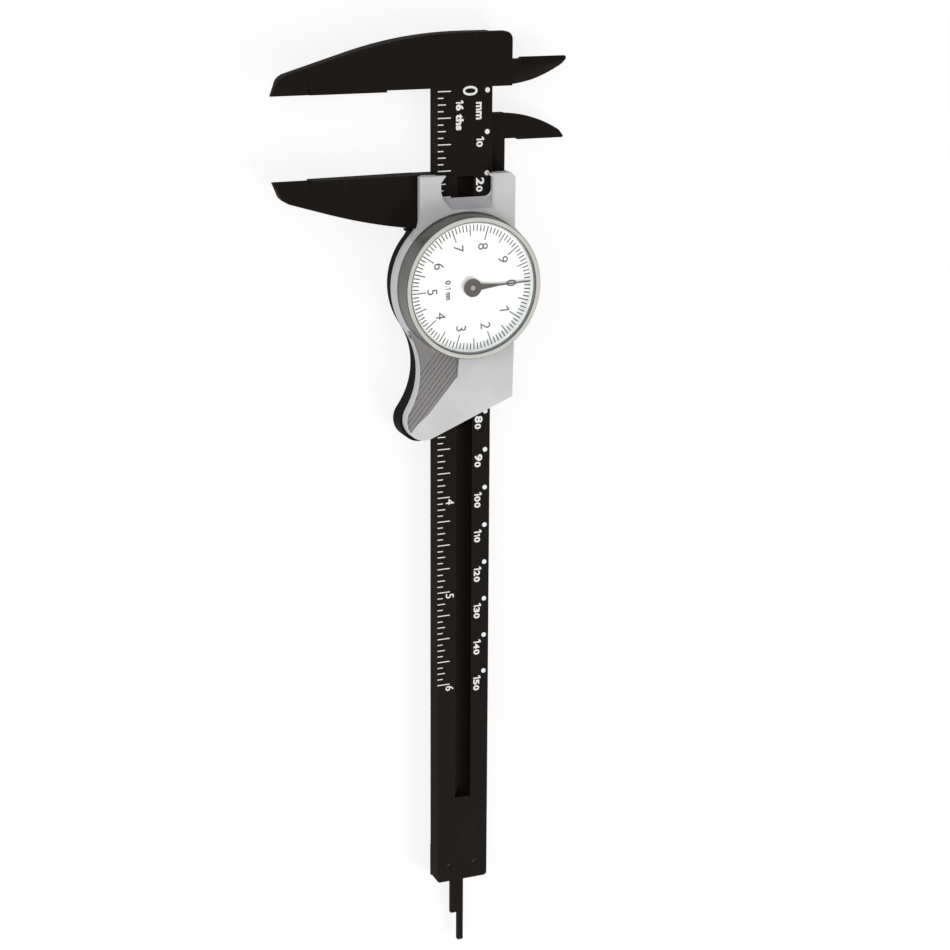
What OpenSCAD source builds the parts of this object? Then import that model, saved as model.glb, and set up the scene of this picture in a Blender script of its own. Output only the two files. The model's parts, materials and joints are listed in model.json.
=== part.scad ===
// Dial caliper in moulded plastic, lying on its back.
// X runs along the beam from the fixed jaws to the depth rod's tip, Y runs from the outside jaws
// to the inside jaws, and Z points out of the dial.
// The origin is on the slider's flat back, straight under the pointer's axis.

/* [Reading] */
// Length of the gap between the measuring faces as drawn
gap_l = 20; // [0:1:150]
// Longest reading
travel = 150; // [100:5:200]

/* [Beam] */
// Width of the beam
beam_w = 14.2; // [13:0.2:15]
// Thickness of the beam
beam_t = 5; // [4.8:0.1:6]
// Plain length of the beam past the end of its scale
beam_tail = 59; // [58:1:80]
// Radius of the two corners at the beam's end
beam_corner = 0.9; // [0.3:0.1:2]
// Depth of the rack groove in the beam's face
groove_d = 2.4; // [2.3:0.1:2.6]
// Width of the rack groove from the rack's pitch line
groove_w = 4; // [3.9:0.1:4.6]
// Scale reading at which the groove starts
groove_start = 20.5; // [18:0.5:22]
// Length of the groove past the pinion's place at the longest reading
groove_past = 8; // [6:0.5:9]
// Depth of the rod groove in the beam's back
rod_groove_d = 1.7; // [1.5:0.1:1.8]

/* [Rack and pinion] */
// Spacing of the rack's teeth
tooth_pitch = 1; // [0.9:0.05:1.1]
// Teeth on the pinion, so that one turn is ten millimetres
pinion_teeth = 10; // [9:1:11]
// Distance from the pointer's axis to the beam's centre line
beam_shift = 0.1; // [0:0.05:0.3]
// Width of the rack strip behind its teeth
rack_w = 1; // [0.6:0.1:1.4]
// Height of the rack strip
rack_h = 1.9; // [1.7:0.1:2]
// Length of the pinion's teeth
pinion_h = 1.8; // [1.2:0.1:1.9]
// Gap between the pinion and the slider's cover
pinion_gap = 0.15; // [0.1:0.05:0.3]

/* [Outside jaws] */
// Reach of the outside jaws from the beam's edge
jaw_reach = 41.4; // [34:0.2:45]
// Distance of each measuring face ahead of the reading edge
jaw_lead = 0.3; // [0:0.1:0.5]
// Width of the fixed jaw at its root
fixed_root_w = 13.5; // [12:0.1:15]
// Width of the fixed jaw where its blunt nose begins
fixed_nose_w = 5.1; // [4:0.1:6]
// Height of that place over the tip
fixed_nose_h = 4.5; // [3.5:0.1:5]
// Slope of the fixed jaw's straight back in degrees
fixed_slope = 15.9; // [15:0.1:17]
// Length of the fixed jaw's straight back
fixed_straight = 15.5; // [12:0.5:17]
// Width of the moving jaw at its root
moving_root_w = 14; // [13.6:0.1:14.4]
// Width of the moving jaw where its blunt nose begins
moving_nose_w = 5.6; // [5:0.1:6.5]
// Height of that place over the tip
moving_nose_h = 4.9; // [4:0.1:5.5]
// Slope of the moving jaw's back over its nose in degrees
moving_slope = 16.9; // [16.5:0.1:17.5]
// Length of the moving jaw's straight back
moving_straight = 8.5; // [7:0.5:10]
// Radius of the fillet between the moving jaw's back and the slider's bulge
jaw_fillet = 0.9; // [0.5:0.1:1.5]
// Length over which the outside jaws get thinner from behind
jaw_taper_l = 33; // [20:1:34]
// Thickness of a jaw at its tip
jaw_tip_t = 3.2; // [2.6:0.1:3.8]
// Height of the measuring faces, counted from the beam's face
jaw_face_h = 1.4; // [1.2:0.1:2]
// Slope by which a jaw draws back behind its measuring face in degrees
jaw_back_a = 12; // [8:0.5:14]
// Depth of the relief behind the fixed measuring face
relief_d = 0.45; // [0.2:0.05:0.7]
// Length of the relief from the beam's edge
relief_l = 12.8; // [6:0.1:18]
// Length of the knife edge at a jaw's tip
knife_l = 9.5; // [5:0.1:12]
// Width of the knife edge's bevel
knife_w = 3.6; // [3:0.1:4]
// Thickness left at the knife edge
knife_t = 1; // [0.6:0.1:1.6]
// Depth of the knife edge below the beam's face
knife_d = 0.6; // [0.3:0.1:0.9]

/* [Head and inside jaws] */
// Reach of the head past the beam's edge
head_reach = 5.2; // [4:0.1:6]
// Radius of the head's outer corner
head_corner = 2; // [1:0.1:3.5]
// Distance from the zero line back to the fixed inside edge
inside_back = 7.4; // [7.2:0.05:8]
// Reach of the inside jaws from the beam's edge
inside_reach = 20; // [17:0.1:22]
// Width of an inside jaw at its root
inside_w = 6.6; // [5:0.1:6.8]
// Height over the beam's edge at which the curved back starts
inside_arc_start = 2.9; // [1:0.1:4]
// Rise of the curved back up to where it would meet the measuring edge
inside_arc_l = 18.6; // [18:0.1:21]
// Height of the blunt nose at the tip
inside_nose_h = 1.1; // [0.8:0.1:1.6]
// Height over the beam's edge at which the measuring edge starts
inside_edge_start = 7.9; // [6.5:0.1:10]
// Set-back of the inside jaw under its measuring edge
inside_relief = 0.35; // [0.1:0.05:0.6]
// Thickness of an inside jaw
inside_t = 2; // [1.6:0.1:2.2]
// Thickness left at an inside measuring edge
inside_edge_t = 0.8; // [0.5:0.1:1.2]
// Width of the bevel on an inside measuring edge
inside_bevel = 1.8; // [1:0.1:2.5]
// Width of the blunt tip of an inside jaw
inside_tip_w = 0.4; // [0.2:0.1:0.8]
// Gap between the front and the back jaw layer
layer_gap = 0.1; // [0.05:0.05:0.2]

/* [Slider] */
// Distance from the reading edge to the pointer's axis
edge_to_axis = 27; // [25.5:0.5:29]
// Thickness of the slider's back wall
back_t = 1.5; // [1.3:0.1:2]
// Gap between the beam and the slider, front and back
slide_gap = 0.1; // [0.05:0.01:0.2]
// Gap between the beam's edges and the slider
side_gap = 0.08; // [0.05:0.01:0.15]
// Distance from the beam's face down to the parting line of body and cover
parting_d = 1.5; // [1:0.1:1.8]
// Distance from the pointer's axis to the slider's jaw side at the reading edge
wing_left = 12.15; // [11.8:0.05:13]
// Distance from the pointer's axis to the slider's straight side
wing_right = 12.8; // [12.5:0.1:14]
// Radius of the bulge of the cover under the dial
bulge_r = 18.7; // [18.6:0.1:19.5]
// Amount by which the body's bulge is smaller than the cover's
bulge_step = 0.9; // [0.5:0.1:1.2]
// Radius of the fillet between wing and bulge
wing_fillet = 6; // [5:0.5:8]
// Place of the thumb nose along the beam
nose_x = 33.6; // [32:0.1:35]
// Place of the thumb nose across the beam
nose_y = 10.6; // [10:0.1:11.5]
// Radius of the thumb nose
nose_r = 5.2; // [4.8:0.1:5.6]
// Distance by which the body's thumb nose lies further along the beam than the cover's
nose_past = 0.7; // [0.3:0.1:0.8]
// Distance by which the body's thumb nose lies further across the beam than the cover's
nose_drop = 0.6; // [0.3:0.1:0.8]
// Radius of the hollow between bulge and nose
hollow_r = 18.5; // [16:0.1:20]
// Place of the corner at the end of the slider's straight side
tail_x = 29.5; // [28:0.5:31]
// Size of the chamfer at the reading edge's outer corner
ear_chamfer = 1; // [0.5:0.1:2]
// Distance from the pointer's axis to the end of the back wall behind the beam
back_end = 22.5; // [21:0.5:22.5]
// Reach of the inside jaw's arm from the beam's edge
arm_reach = 4.4; // [3.5:0.1:4.8]

/* [Cover] */
// Height of the cover over the beam's face
cover_rise = 1.6; // [1.5:0.1:2]
// Depth of the round seat for the bezel
seat_d = 0.5; // [0.3:0.05:0.6]
// Gap between bezel and seat
seat_gap = 0.3; // [0.2:0.05:0.5]
// Drop of the bevel beside the dial, where a finger reaches the bezel
side_drop = 1.9; // [1.2:0.1:2.4]
// Reach of that bevel from the pointer's axis towards the jaws
side_reach = 12; // [8:0.5:12]
// Length of the reading window from the reading edge
window_l = 5.6; // [4:0.1:6]
// Gap between the window's sides and the beam's edges
window_inset = 0.3; // [0.2:0.05:0.6]
// Radius of the window's corners
window_r = 1.9; // [0.8:0.1:2]
// Width of the lip on the jaw side of the window's mouth
lip_left = 1.3; // [0.6:0.1:1.6]
// Width of the lip on the other side of the mouth
lip_right = 1.2; // [0.4:0.1:1.4]
// Length over which the jaw side's lip slopes back to the window's side
lip_left_l = 1.7; // [0.8:0.1:2]
// Length over which the other lip slopes back to the window's side
lip_right_l = 1; // [0.6:0.1:1.6]
// Width of the bevel along the window's side away from the jaws
side_bevel = 0.7; // [0.3:0.1:0.9]
// Height of the ramp's foot over the window's underside
ramp_foot = 0.3; // [0.2:0.05:0.5]
// Length of the ramp behind the window
ramp_l = 2.7; // [2:0.1:2.8]
// Distance of the ramp's corner from the window's jaw side
ramp_inset = 0.3; // [0.2:0.1:1]
// Slope of the ramp's jaw side against the beam in degrees
ramp_a = 38; // [30:1:45]
// Slope of the cover's tail in degrees
tail_slope = 3; // [1:0.1:3]
// Angle of the tail's end and crease to the Y axis in degrees
tail_a = 20; // [18:0.5:22]
// Distance from the pointer's axis to the crease where the tail begins to slope
crease_x = 21; // [20:0.5:23]

/* [Thumb grip] */
// Place along the beam of the grip's upper corner
grip_x = 22.8; // [22:0.1:24]
// Place across the beam of the grip's upper corner
grip_y = 2.2; // [1.8:0.1:3]
// Angle of the grip's border to the beam in degrees
grip_a = 39.4; // [37:0.2:41]
// Depth of the grip along its border
grip_d = 0.3; // [0.2:0.05:0.35]
// Slope of the grip in degrees
grip_slope = 5.5; // [3:0.5:5.5]
// Width of the rim along the grip's outer edge
grip_rim = 0.3; // [0.2:0.05:0.6]
// Reach of the grip beside the dial, counted back from its upper corner
grip_wing = 11; // [6:0.5:11]
// Spacing of the ribs
rib_pitch = 1; // [0.8:0.05:1.4]
// Number of grooves between the ribs
rib_n = 8; // [3:1:9]
// Depth of the grooves
rib_d = 0.25; // [0.1:0.05:0.3]

/* [Dial] */
// Outer radius of the bezel at its foot
bezel_r = 17.8; // [17.6:0.05:18]
// Amount by which the bezel tapers to its top
bezel_taper = 0.2; // [0.1:0.05:0.3]
// Wall of the bezel at its top
bezel_wall = 0.85; // [0.7:0.05:1]
// Width of the lip over the crystal
bezel_lip = 0.5; // [0.35:0.05:0.6]
// Thickness of the lip over the crystal
lip_t = 0.5; // [0.4:0.05:0.7]
// Size of the chamfers on the bezel's top edges
bezel_edge = 0.2; // [0.1:0.05:0.25]
// Height of the dial's face over the beam's face
dial_rise = 5; // [4.8:0.1:6]
// Thickness of the dial plate
dial_t = 0.5; // [0.3:0.1:0.7]
// Height of the space between dial and crystal
dial_space = 0.95; // [0.9:0.05:1.3]
// Thickness of the crystal's flange
crystal_flange = 0.33; // [0.25:0.01:0.4]
// Height of the crystal's middle over its flange's underside
crystal_t = 0.65; // [0.55:0.01:0.8]
// Width of the ring between dial and crystal
spacer_w = 0.8; // [0.6:0.1:0.9]
// Gap of a part that is dropped into the bezel
drop_gap = 0.05; // [0.02:0.01:0.1]
// Wall of the sleeve that holds the dial from below
sleeve_w = 0.75; // [0.65:0.05:0.9]

/* [Movement] */
// Gap between the turning sleeve and the boss that it turns on
bezel_gap = 0.06; // [0.04:0.01:0.1]
// Wall of the boss under the dial
boss_wall = 1.6; // [1.2:0.1:2]
// Radius of the wire that keeps and brakes the bezel
brake_wire_r = 0.3; // [0.25:0.01:0.35]
// Gap around that wire
brake_gap = 0.03; // [0.02:0.01:0.05]
// Radius of the pointer's arbor
arbor_r = 0.6; // [0.5:0.05:0.7]
// Running gap around the arbor
arbor_gap = 0.03; // [0.02:0.01:0.06]
// Radius of the arbor's collar
collar_r = 1.1; // [1:0.05:1.3]
// End play of the collar between the bushes
collar_gap = 0.1; // [0.05:0.01:0.2]
// Wall of the bushes
bush_wall = 0.7; // [0.5:0.05:0.9]
// Width of the bushes' flanges past their wall
bush_flange_w = 0.6; // [0.4:0.1:0.8]
// Thickness of the bushes' flanges
bush_flange_t = 0.3; // [0.2:0.05:0.4]
// Distance from the arbor to each bridge screw
bridge_reach = 8.5; // [7:0.5:10]
// Width of the bridge
bridge_w = 5; // [4.5:0.5:7]
// Thickness of the bridge
bridge_t = 0.8; // [0.6:0.1:0.9]
// Height of the bridge over the floor under it
bridge_rise = 1.5; // [1.4:0.1:1.6]
// Radius of the bridge screws
bridge_screw_r = 0.7; // [0.6:0.05:0.9]
// Radius of the bridge screws' heads
bridge_head_r = 1.3; // [1.1:0.1:1.6]
// Height of the bridge screws' heads
bridge_head_h = 0.5; // [0.3:0.1:0.6]

/* [Pointer] */
// Turn of the dial against the beam's cross direction in degrees
dial_turn = 2.3; // [-10:0.1:10]
// Gap between the pointer's tip and the ring around the dial
pointer_gap = 0.7; // [0.4:0.1:3]
// Radius of the pointer's hub
pointer_hub_r = 2.25; // [1.8:0.05:2.6]
// Height of the hub
pointer_hub_h = 0.5; // [0.4:0.05:0.55]
// Width of the pointer's arm at its hub
pointer_root_w = 2; // [1:0.1:2.6]
// Width of the pointer's needle where the arm ends
pointer_needle_w = 0.45; // [0.3:0.05:0.7]
// Distance from the axis at which the arm ends
pointer_arm_l = 7; // [5:0.1:9]
// Width of the pointer at its tip
pointer_tip_w = 0.22; // [0.15:0.01:0.3]
// Thickness of the pointer's blade
pointer_t = 0.25; // [0.2:0.01:0.35]
// Height of the pointer over the dial
pointer_lift = 0.2; // [0.1:0.05:0.3]

/* [Depth rod] */
// Width of the depth rod
rod_w = 3.5; // [3:0.1:3.8]
// Thickness of the depth rod
rod_t = 1.3; // [1.1:0.1:1.3]
// Gap between the depth rod and its groove
rod_gap = 0.1; // [0.05:0.01:0.15]
// Length of the narrow nib at the rod's tip
nib_l = 8.4; // [5:0.1:12]
// Width of the nib
nib_w = 1.5; // [1:0.1:2]
// Distance behind the pointer's axis at which the rod begins
rod_start = 10; // [8:0.5:12]
// Radius of the pins that hold the rod
rod_pin_r = 0.7; // [0.5:0.05:0.9]
// Distance between the pins that hold the rod
rod_pin_space = 6; // [4:0.5:7]
// Thickness of the end plate behind the beam
end_plate_t = 0.7; // [0.5:0.1:1]
// Length of the end plate
end_plate_l = 9; // [8:0.5:9]
// Width of the end plate
end_plate_w = 13.8; // [10.5:0.1:14]
// Radius of the two end pins
end_pin_r = 0.65; // [0.5:0.05:0.8]
// Distance between the two end pins
end_pin_space = 7.1; // [6.5:0.1:8]
// Distance from the beam's end to the end pins
end_pin_back = 4.5; // [3:0.1:5.5]
// Depth of the end pins below the beam's face
end_pin_sunk = 0.3; // [0.2:0.05:0.6]

/* [Fasteners and springs] */
// Radius of the cover screws
screw_r = 1; // [0.8:0.05:1.1]
// Radius of the cover screws' heads
screw_head_r = 1.8; // [1.6:0.1:1.9]
// Height of the cover screws' heads
screw_head_h = 1; // [0.8:0.1:1.2]
// Depth of the screw heads and rod pins below the slider's back
screw_sunk = 0.3; // [0.2:0.05:0.5]
// Gap around a screw where it passes freely
screw_gap = 0.15; // [0.1:0.05:0.25]
// Thickness of cover left over a screw's end
screw_cap = 1.6; // [1.4:0.1:2]
// Thickness of the guide spring
guide_t = 0.3; // [0.2:0.05:0.4]
// Length of the guide spring
guide_l = 34; // [24:1:38]
// Height of the guide spring
guide_h = 2.2; // [1.6:0.1:2.4]
// Bow of the guide spring
guide_bow = 0.7; // [0.5:0.05:0.9]

/* [Hidden] */
$fn = 96;

black_plastic = "#1f1b19";
grey_plastic = "#cfcfcf";
white_plate = "#f4f4f0";
brass = "#b39a5a";
steel = "#9a9da0";
clear = [0.85, 0.93, 0.95, 0.4];

// A hair of length that lets a cut run past the face that it opens
over = 0.5;
// A length that reaches past the slider from anywhere inside it
far = 60;
// Clearance of a spring or ring that rests against another piece
rest_gap = 0.02;
// Amount by which the round platform on the straight side is smaller than the bulge
platform_step = 0.15;
// Gap between the cover's wall and the moving jaw under it
cover_gap = 0.03;

// Heights, counted from the slider's flat back
beam_back_z = back_t + slide_gap;
face_z = beam_back_z + beam_t;
parting_z = face_z - parting_d;
ceiling_z = face_z + slide_gap;
cover_z = face_z + cover_rise;
seat_z = cover_z - seat_d;
dial_z = face_z + dial_rise;
dial_back_z = dial_z - dial_t;
crystal_z = dial_z + dial_space;
lip_z = crystal_z + crystal_flange + drop_gap;
bezel_top_z = lip_z + lip_t;
bezel_foot_z = seat_z + drop_gap;
bridge_z = seat_z + bridge_rise;
bridge_top_z = bridge_z + bridge_t;
boss_top_z = dial_back_z - 0.35;
brake_z = (seat_z + dial_back_z) / 2;
back_layer_z = face_z - beam_t / 2 - layer_gap / 2;
rod_z = beam_back_z + (rod_groove_d - rod_t) / 2;

// Rack and pinion. The pinion's teeth narrow to their roots so that the rack's tips pass them.
pitch_r = tooth_pitch * pinion_teeth / (2 * PI);
module_mm = tooth_pitch / PI;
addendum = 0.8 * module_mm;
dedendum = 1.15 * module_mm;
pressure_a = 20;
tooth_half = tooth_pitch / 4 - 0.04;
rack_line = pitch_r + beam_shift;
groove_left = rack_line + dedendum;
groove_right = groove_w - rack_line;
pinion_z = ceiling_z - pinion_gap - pinion_h;
turn_per_mm = 360 / (tooth_pitch * pinion_teeth);

// Places along the beam
edge_x = -edge_to_axis;
zero_x = edge_x - gap_l;
beam_l = travel + beam_tail;
groove_end = travel + edge_to_axis + groove_past;
rack_l = groove_end - groove_start;
beam_half = beam_w / 2;
face_x = -jaw_lead;
head_back = inside_back - inside_w;
rod_tip_x = beam_l - edge_to_axis;

// Places across the slider
beam_y = beam_shift;
channel_lo = beam_y - beam_half - side_gap;
channel_hi = beam_y + beam_half + side_gap;
tip_y = -beam_half - jaw_reach;
guide_slot = guide_bow + guide_t + 0.1;

// Dial
bore_r = bezel_r - bezel_taper - bezel_wall;
drop_r = bore_r - drop_gap;
lip_r = bore_r - bezel_lip;
sleeve_r = bore_r - sleeve_w;
boss_r = sleeve_r - bezel_gap;
pointer_l = drop_r - spacer_w - pointer_gap;
brake_r = boss_r + bezel_gap / 2;
bush_r = arbor_r + arbor_gap + bush_wall;
post_r = bridge_w / 2;

// Screws that join body and cover, as places across the slider
screw_points = [[edge_x + 4, -9.6], [edge_x + 4, 10.1], [24, 10.1], [nose_x - 1.2, -nose_y]];

// Points on an arc from angle a0 to angle a1
function arc(c, r, a0, a1, n) =
    [for (i = [0:n]) let (a = a0 + (a1 - a0) * i / n) c + r * [cos(a), sin(a)]];

// Points on a curve that leaves p0 towards p1 and reaches p2 from p1
function bend(p0, p1, p2, n) =
    [for (i = [0:n]) let (t = i / n) (1 - t) * (1 - t) * p0 + 2 * t * (1 - t) * p1 + t * t * p2];

// Centre of the circle of radius r that touches two circles from outside, on the jaw side
function touching(c1, r1, c2, r2, r) =
    let (d = c2 - c1, l = norm(d), a = r1 + r, b = r2 + r,
         u = (a * a - b * b + l * l) / (2 * l), v = sqrt(a * a - u * u))
    c1 + u * d / l + v * [d[1], -d[0]] / l;

// Direction from p to q in degrees
function angle_to(p, q) = atan2(q[1] - p[1], q[0] - p[0]);

// The slider's outline seen from the dial, its bulge at radius r, its thumb nose further along by past
// and further across by drop, and the rest drawn in by inset
module slider_outline(r, inset, past = 0, drop = 0) {
    nose = [nose_x + past, -nose_y - drop];
    nr = nose_r - inset;
    hr = hollow_r + inset;
    left = -wing_left + inset;
    front = edge_x + inset;
    hollow = touching([0, 0], r, nose, nr, hr);
    fillet = [-sqrt(pow(r + wing_fillet, 2) - pow(left - wing_fillet, 2)), left - wing_fillet];
    corner = [tail_x - inset, wing_right - inset];
    last_a = angle_to(nose, corner) - acos(nr / norm(corner - nose));
    polygon(concat(
        [[front, left]],
        arc(fillet, wing_fillet, 90, angle_to(fillet, [0, 0]), 8),
        arc([0, 0], r, angle_to([0, 0], fillet), angle_to([0, 0], hollow), 28),
        arc(hollow, hr, angle_to(hollow, [0, 0]), angle_to(hollow, nose), 14),
        arc(nose, nr, angle_to(nose, hollow), last_a, 16),
        [corner, [front + ear_chamfer, corner[1]], [front, corner[1] - ear_chamfer]]));
}

// Outline of an outside jaw with its measuring face on X = 0, its body at X > 0 and its tip at the origin
module jaw_outline(root_w, nose_w, nose_h, slope, straight, root) {
    foot = [nose_w, nose_h];
    knee = foot + straight * [sin(slope), cos(slope)];
    back_r = (root_w - knee[0]) / (1 - cos(slope));
    back_c = knee - back_r * [cos(slope), -sin(slope)];
    full_y = max(root, back_c[1]) + over;
    intersection() {
        polygon(concat(
            [[0, 0]],
            bend([nose_w * 0.45, nose_h * 0.27], [nose_w * 0.9, nose_h * 0.45], foot, 5),
            arc(back_c, back_r, -slope, 0, 12),
            [[root_w, full_y], [0, full_y]]));
        square([root_w + over, root]);
    }
}

// Thins an outside jaw of thickness t, given as children with its front on Z = t: from behind towards
// its tip, behind its measuring face, and on both sides of the knife edge at its tip
module thin_jaw(t) {
    taper_a = atan2(t - jaw_tip_t, jaw_taper_l);
    back_a = atan2(jaw_tip_t - knife_d - knife_t, knife_w);
    front_a = atan2(knife_d, knife_w);
    difference() {
        children();
        translate([-over, jaw_taper_l, 0])
            rotate([-taper_a, 0, 0])
                translate([0, -jaw_taper_l - 2, -t])
                    cube([far, jaw_taper_l + 2, t]);
        translate([0, -over, t - jaw_face_h])
            rotate([0, jaw_back_a, 0])
                translate([-far, 0, -far])
                    cube([far, far, far]);
        translate([0, -over, t - knife_d])
            rotate([0, -front_a, 0])
                translate([-over, 0, 0])
                    cube([2 * knife_w, knife_l + over, t]);
        translate([0, -over, t - knife_d - knife_t])
            rotate([0, back_a, 0])
                translate([-over, 0, -t])
                    cube([2 * knife_w, knife_l + over, t]);
    }
}

// An inside jaw with its measuring edge on X = 0, its body at X > 0 and the beam's edge at Y = 0. Its
// measuring edge and its curved back are bevelled down to the face on Z = 0.
module inside_jaw(foot) {
    back_r = (inside_w * inside_w + inside_arc_l * inside_arc_l) / (2 * inside_w);
    back_c = [inside_w - back_r, inside_arc_start];
    top_a = asin((inside_reach - inside_nose_h - inside_arc_start) / back_r);
    bevel_a = atan2(inside_t - inside_edge_t, inside_bevel);
    difference() {
        linear_extrude(inside_t)
            polygon(concat(
                [[inside_relief, foot], [inside_relief, inside_edge_start - inside_relief],
                 [0, inside_edge_start], [0, inside_reach - inside_tip_w / 2], [inside_tip_w, inside_reach]],
                arc(back_c, back_r, top_a, 0, 12),
                [[inside_w, foot]]));
        translate([0, inside_edge_start, inside_edge_t])
            rotate([0, -bevel_a, 0])
                translate([-over, 0, 0])
                    cube([2 * inside_bevel, inside_reach, inside_t]);
        for (a = [top_a / 4, top_a * 3 / 4])
            translate([back_c[0] + back_r * cos(a), back_c[1] + back_r * sin(a), inside_edge_t])
                rotate([0, 0, a])
                    rotate([0, bevel_a, 0])
                        translate([-2 * inside_bevel, -inside_reach, 0])
                            cube([2 * inside_bevel + over, 2 * inside_reach, inside_t]);
    }
}

// Moves a piece from the beam's own place, zero line at X = 0 and face at Z = 0, to where it lies
module on_beam() {
    translate([zero_x, beam_y, face_z]) children();
}

// The two places of the end pins
module at_end_pins() {
    for (s = [-1, 1])
        translate([beam_l - end_pin_back, s * end_pin_space / 2, 0]) children();
}

// The beam seen from its face
module beam_outline() {
    start = face_x - relief_d - 2 * over;
    translate([start, -beam_half]) square([beam_l - beam_corner - start, beam_w]);
    translate([start, beam_corner - beam_half]) square([beam_l - start, beam_w - 2 * beam_corner]);
    for (s = [-1, 1])
        translate([beam_l - beam_corner, s * (beam_half - beam_corner)]) circle(beam_corner);
}

// The fixed head seen from its face, up to its reach past the beam's edge
module head_outline() {
    left = face_x - fixed_root_w;
    low = beam_half - over;
    top = beam_half + head_reach;
    translate([left, low]) square([-head_back - left, top - head_corner - low]);
    translate([left + head_corner, low]) square([-head_back - left - head_corner, top - low]);
    translate([left + head_corner, top - head_corner]) circle(head_corner);
}

// Beam, head, fixed outside jaw and fixed inside jaw in one piece
module beam() {
    front_t = beam_t / 2 - layer_gap / 2;
    color(black_plastic)
        on_beam()
            difference() {
                union() {
                    translate([0, 0, -beam_t]) linear_extrude(beam_t) beam_outline();
                    translate([0, 0, -front_t]) linear_extrude(front_t) head_outline();
                    translate([face_x, tip_y, -beam_t])
                        mirror([1, 0, 0])
                            thin_jaw(beam_t)
                                linear_extrude(beam_t)
                                    jaw_outline(fixed_root_w, fixed_nose_w, fixed_nose_h, fixed_slope,
                                                fixed_straight, beam_half - tip_y);
                    translate([-inside_back, beam_half, -front_t]) inside_jaw(-over);
                }
                translate([face_x - relief_d, -beam_half - relief_l, -beam_t - over])
                    cube([relief_d + over, relief_l, beam_t + 2 * over]);
                translate([groove_start, -groove_left, -groove_d])
                    cube([rack_l, groove_left + groove_right, groove_d + over]);
                translate([groove_start, -groove_left - rack_w, -groove_d])
                    cube([rack_l, rack_w + over, rack_h]);
                translate([edge_to_axis + rod_start - 1, -rod_w / 2 - rod_gap, -beam_t - over])
                    cube([beam_l, rod_w + 2 * rod_gap, rod_groove_d + over]);
                at_end_pins()
                    translate([0, 0, -beam_t - over]) cylinder(r = end_pin_r, h = beam_t + 2 * over);
            }
}

// Rack strip whose back lies under the groove's wall and whose teeth face the pinion
module gear_rack() {
    phase = (edge_to_axis + tooth_pitch / 2 - groove_start) % tooth_pitch;
    first = groove_start + phase + tooth_pitch;
    n = floor((groove_end - first) / tooth_pitch);
    tip_half = tooth_half - addendum * tan(pressure_a);
    foot_half = tooth_half + dedendum * tan(pressure_a);
    color(black_plastic)
        on_beam()
            translate([0, -rack_line, -groove_d])
                linear_extrude(rack_h)
                    polygon(concat(
                        [[groove_start, -dedendum - rack_w], [groove_start, -dedendum]],
                        [for (i = [0:n - 1]) let (x = first + i * tooth_pitch)
                            each [[x - foot_half, -dedendum], [x - tip_half, addendum],
                                  [x + tip_half, addendum], [x + foot_half, -dedendum]]],
                        [[groove_end, -dedendum], [groove_end, -dedendum - rack_w]]));
}

// Plate behind the beam's end, which keeps the depth rod in its groove and stops the slider
module end_plate() {
    color(black_plastic)
        on_beam()
            difference() {
                translate([beam_l - end_plate_l, -end_plate_w / 2, -beam_t - end_plate_t])
                    cube([end_plate_l, end_plate_w, end_plate_t]);
                at_end_pins()
                    translate([0, 0, -beam_t - end_plate_t - over])
                        cylinder(r = end_pin_r, h = end_plate_t + 2 * over);
            }
}

// Pins that hold the end plate to the beam
module end_pins() {
    color(steel)
        on_beam()
            at_end_pins()
                translate([0, 0, -beam_t - end_plate_t])
                    cylinder(r = end_pin_r, h = beam_t + end_plate_t - end_pin_sunk);
}

// Space in which the beam runs through the slider
module beam_channel() {
    translate([edge_x - over, channel_lo, back_t])
        cube([far + edge_to_axis, channel_hi - channel_lo, ceiling_z - back_t]);
}

// The two places of the pins that hold the depth rod
module at_rod_pins() {
    for (i = [0, 1])
        translate([rod_start + 2.5 + i * rod_pin_space, beam_y, 0]) children();
}

// Moving outside jaw, cut away where the cover stands over it
module moving_jaw() {
    root = -wing_left - beam_y - tip_y;
    difference() {
        translate([edge_x + face_x, beam_y + tip_y, beam_back_z])
            thin_jaw(beam_t)
                linear_extrude(beam_t)
                    jaw_outline(moving_root_w, moving_nose_w, moving_nose_h, moving_slope,
                                moving_straight, root + over);
        translate([0, 0, parting_z]) linear_extrude(far) slider_outline(bulge_r + cover_gap, -cover_gap);
    }
}

// Fillet in the corner between the moving jaw's back and the body's bulge
module jaw_root_fillet() {
    r = bulge_r - bulge_step;
    back_x = edge_x + face_x + moving_root_w;
    c = [back_x + jaw_fillet, -sqrt(pow(r + jaw_fillet, 2) - pow(back_x + jaw_fillet, 2))];
    deep = c * (r - over) / (r + jaw_fillet);
    translate([0, 0, beam_back_z])
        linear_extrude(parting_z - beam_back_z)
            polygon(concat(
                [[back_x - over, c[1]]],
                arc(c, jaw_fillet, 180, angle_to(c, [0, 0]), 6),
                [deep, [back_x, over - wing_left], [back_x - over, over - wing_left]]));
}

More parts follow.
